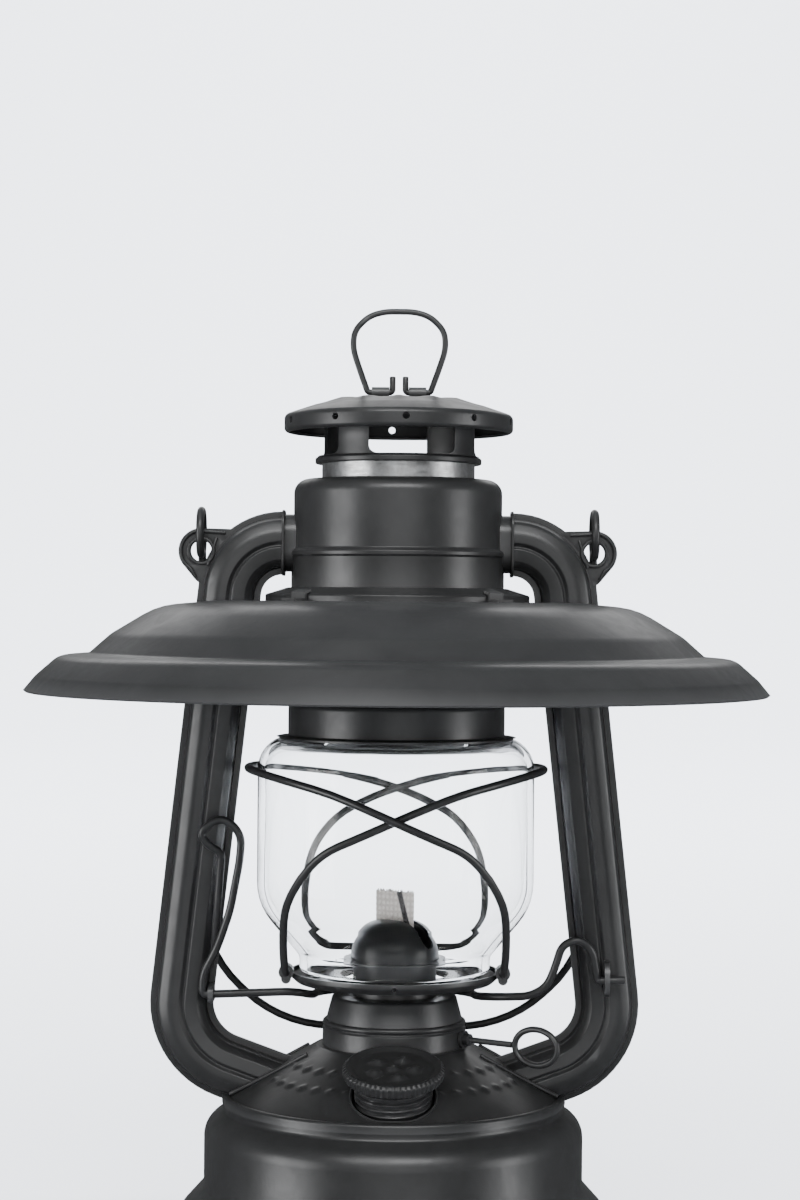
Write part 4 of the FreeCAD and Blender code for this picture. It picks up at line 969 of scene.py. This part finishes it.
def make_guard():
    """One wire that runs up, over and down round the globe, and back under the plate.

    The second half mirrors the first, and passes outside it by the lap where the two cross.
    """
    lap = 2.9
    rising = [(-33.2, -6.0, 88.0), (-33.2, -15.5, 88.0), (-33.6, -20.5, 93.5), (-33.6, -25.5, 101.0),
              (-32.9, -31.0, 110.0), (-28.4, -36.4, 119.2), (-21.5, -41.0, 127.2)]
    crossing = [(-6.0, -45.9, 134.4), (6.0, -45.9, 139.8)]
    over = [(19.0, -42.4, 144.8), (34.0, -31.6, 148.2), (44.4, -13.0, 149.9), (46.4, 1.0, 150.0),
            (43.4, 16.5, 149.8), (33.0, 32.5, 148.2), (19.0, 42.2, 146.0)]
    back_crossing = [(6.0, 45.9, 142.4), (-6.0, 45.9, 138.6)]
    falling = [(-20.3, 42.4, 131.8), (-28.2, 37.6, 121.3), (-30.4, 35.4, 108.7)]
    inner_half = rising + crossing + over + back_crossing + falling
    outer_half = []
    for across, depth, up in inner_half:
        shifted = depth + math.copysign(lap, depth) if abs(across) < 7.0 else depth
        outer_half.append((-across, shifted, up))
    foot_run = [(-30.4, 34.0, 90.5), (30.4, 34.0, 90.5)]
    stands_for(wire("globe_guard", inner_half + foot_run + outer_half[::-1], HEAVY_WIRE), "guard_wire")


LEVER_LEFT = Vector((-57.0, -8.4, 80.6))
LEVER_RIGHT = Vector((65.0, -12.4, 86.3))


def on_lever_axis(across):
    """The point of the lever's pivot axis at a given distance across."""
    return tuple(LEVER_LEFT.lerp(LEVER_RIGHT, (across - LEVER_LEFT.x) / (LEVER_RIGHT.x - LEVER_LEFT.x)))


def make_lever():
    """The cranked lifting lever: thumb loop, bow behind the burner and curl at the far end."""
    handle = [(-55.6, -6.6, 92.0), (-54.2, -9.4, 112.0), (-53.2, -11.2, 124.6), (-57.4, -12.6, 126.8),
              (-59.8, -13.2, 130.8), (-53.2, -13.8, 136.0), (-46.9, -13.8, 130.6), (-47.6, -13.0, 122.0),
              (-50.4, -11.8, 107.0), (-54.4, -10.4, 95.0), (-58.8, -9.0, 87.0)]
    left_run = [(*on_lever_axis(-59.0), 1.5), on_lever_axis(-31.0)]
    bow = [(-24.9, -1.5, 79.6), (-24.6, 8.5, 79.0), (-17.0, 18.6, 78.6), (0.0, 23.6, 78.4),
           (17.0, 18.6, 78.6), (24.6, 8.5, 79.0), (25.2, -1.5, 79.6)]
    right_curve = [(32.0, -9.5, 80.6), (41.5, -12.6, 81.4), (46.6, -13.8, 84.6), (48.8, -14.6, 90.0),
                   (51.0, -15.0, 97.4), (56.2, -14.9, 99.4), (60.4, -14.2, 95.6)]
    right_run = [(*on_lever_axis(62.0), 1.5), on_lever_axis(70.6)]
    path = handle + left_run + bow + right_curve + right_run
    stands_for(wire("globe_lever", path, HEAVY_WIRE, 40.0), "lift_lever")


def make_bail():
    """The carrying bail, which hangs down behind the tank from an eye in each ear."""
    reach, pivot, offset, foot, lean_angle = 61.0, 222.7, 3.0, 63.0, math.radians(9.0)
    eye_radius, eye_corners, overshoot = 6.8, 16, 1.02
    drop = math.sqrt(eye_radius ** 2 - offset ** 2)
    half = [(reach, offset, pivot - drop + 0.6), (reach, offset, foot + 24.0), (36.0, offset, foot)]
    pieces = [wire("run", both_sides(half), HEAVY_WIRE, 60.0)]
    for side in (-1, 1):
        eye = []
        for step in range(eye_corners):
            turn = math.tau * (step + 0.5) / eye_corners
            eye.append((side * reach, eye_radius * math.cos(turn) * overshoot,
                        pivot + eye_radius * math.sin(turn) * overshoot))
        pieces.append(wire("eye", eye, HEAVY_WIRE, closed=True))
    lean = (Matrix.Translation(Vector((0, 0, pivot))) @ Matrix.Rotation(lean_angle, 4, "X")
            @ Matrix.Translation(Vector((0, 0, -pivot))))
    stands_for(placed(joined("carrying_bail", pieces), lean), "bail")


# ---- shade

def make_shade():
    """The wide reflector shade with its stepped side slots."""
    reach, foot, head = extent("reflector_shade")
    drawn_height, top_hole = 29.2, 42.0
    rise = (head - foot) / drawn_height
    dish = spin("shade_dish", shell([
        (reach, foot), (reach - 3.6, foot + 4.6 * rise, 6.0), (reach - 10.6, foot + 11.1 * rise, 7.0),
        (reach - 19.8, foot + 11.9 * rise, 2.5), (reach - 26.5, foot + 18.2 * rise, 14.0),
        (reach - 40.9, foot + 27.4 * rise, 24.0), (reach - 58.0, head, 8.0), (top_hole, head)]), 320)
    near, step, far = 36.0, 64.5, 70.0
    half_wide, half_narrow = 12.5, 4.0
    slot = rounded([
        (far, half_narrow, 1.5), (step, half_narrow, 1.0), (step, half_wide, 3.0), (near, half_wide),
        (near, -half_wide), (step, -half_wide, 3.0), (step, -half_narrow, 1.0), (far, -half_narrow, 1.5)])
    across_top = (40.0, (0, 0, 170.0), (1, 0, 0), (0, 1, 0))
    right = bar(slot, *across_top)
    left = bar([(-across, -deep) for across, deep in slot], *across_top)
    stands_for(cut(dish, [right, left]), "reflector_shade")


# ---- carried over

def carry_over():
    """Every CAD node that stays visible gets its material."""
    for node, piece in frame["nodes"].items():
        material = MATERIALS[SLOT_OF.get(node, "painted_steel")]
        if not piece.material_slots:
            piece.data.materials.append(material)
        for slot in piece.material_slots:
            slot.material = material


# ---- stage

def area_light(name, place, aim, width, height, power, colour=(1.0, 1.0, 1.0)):
    """A soft rectangular light that faces a point. Lengths are metres."""
    data = bpy.data.lights.new(name, "AREA")
    data.shape = "RECTANGLE"
    data.size, data.size_y, data.energy, data.color = width, height, power, colour
    lamp = in_scene(name, data)
    lamp.location = place
    lamp.rotation_euler = (Vector(aim) - Vector(place)).to_track_quat("-Z", "Y").to_euler()
    return lamp


def backdrop_piece(name, line, half):
    """A sheet of backdrop paper along a (depth, height) line. Lengths are metres."""
    bm = bmesh.new()
    rows = [[bm.verts.new((side * half, depth, up)) for side in (-1, 1)] for depth, up in line]
    for near, far in zip(rows, rows[1:]):
        bm.faces.new((near[0], near[1], far[1], far[0]))
    return made_from(name, bm)


def make_backdrop():
    """A pale floor that curves up into a wall, both kept out of the lantern's gloss."""
    half, front, join, wall, sweep, top, steps = 6.0, -6.0, 0.7, 4.5, 1.6, 6.0, 24
    line = [(join, 0.0), (wall - sweep, 0.0)]
    for step in range(1, steps + 1):
        angle = math.pi / 2 * step / steps
        line.append((wall - sweep + sweep * math.sin(angle), sweep - sweep * math.cos(angle)))
    line.append((wall, top))
    material, shader, add, link, place = new_material("studio_paper")
    mottle = noise_map(add, place, 300.0, 3.0)
    link(mixed(add, mottle, (0.80, 0.81, 0.84), (0.81, 0.82, 0.85)), "Base Color")
    shader.inputs["Roughness"].default_value = 0.9
    shader.inputs["Specular IOR Level"].default_value = 0.1
    for name, profile in (("studio_wall", line), ("studio_floor", [(front, 0.0), (join, 0.0)])):
        piece = backdrop_piece(name, profile, half)
        piece.visible_glossy = False
        piece.data.materials.append(material)


def make_lights():
    """Soft boxes for the lantern, and a wash that only brightens the wall."""
    area_light("side_left", (-1.25, -0.62, 0.12), (0, 0, 0.12), 0.7, 0.75, 15.0)
    area_light("side_right", (1.35, -0.45, 0.12), (0, 0, 0.12), 0.5, 0.75, 9.5)
    area_light("front", (0.12, -1.9, 0.25), (0, 0, 0.15), 1.3, 0.8, 6.0)
    area_light("front_high", (0.0, -1.25, 1.25), (0, 0, 0.1), 1.4, 0.5, 26.0)
    area_light("top_back", (0.0, 1.5, 1.05), (0, 0, 0.2), 1.6, 0.55, 6.0)
    area_light("top", (-0.3, -0.3, 1.9), (0, 0, 0.2), 0.8, 0.6, 3.0)
    wash = area_light("wall_wash", (0.0, 1.2, 3.6), (0, 3.8, 0.4), 5.0, 1.0, 900.0, (0.93, 0.96, 1.0))
    wash.visible_glossy = False


def make_sky():
    """A bright sky for the camera alone, and a dim one that lights the lantern."""
    world = bpy.data.worlds.new("studio")
    bpy.context.scene.world = world
    world.use_nodes = True
    tree = world.node_tree
    seen, around = tree.nodes["Background"], tree.nodes.new("ShaderNodeBackground")
    for sky, colour, strength in ((seen, (0.90, 0.93, 1.0), 1.5), (around, (0.95, 0.97, 1.0), 0.13)):
        sky.inputs["Color"].default_value = (*colour, 1.0)
        sky.inputs["Strength"].default_value = strength
    choice, path = tree.nodes.new("ShaderNodeMixShader"), tree.nodes.new("ShaderNodeLightPath")
    tree.links.new(path.outputs["Is Camera Ray"], choice.inputs[0])
    tree.links.new(around.outputs[0], choice.inputs[1])
    tree.links.new(seen.outputs[0], choice.inputs[2])
    tree.links.new(choice.outputs[0], tree.nodes["World Output"].inputs["Surface"])


def make_camera():
    """The camera, level and facing +Y, with a slight roll. Its place is in metres."""
    turn = Matrix.Rotation(math.pi / 2, 3, "X") @ Matrix.Rotation(math.radians(0.45), 3, "Z")
    data = bpy.data.cameras.new("camera")
    data.lens, data.sensor_width = 77.96, 36.0
    camera = in_scene("camera", data)
    camera.location = (0.0008, -0.807, 0.2022)
    camera.rotation_euler = turn.to_euler()
    bpy.context.scene.camera = camera


carry_over()
make_tank()
make_neck()
make_filler_cap()
make_burner()
make_wick()
make_knob()
make_side_tubes()
make_tube_collars()
make_chamber()
make_hood()
make_cap()
make_globe()
make_guard()
make_lever()
make_bail()
make_shade()
make_backdrop()
make_lights()
make_sky()
make_camera()
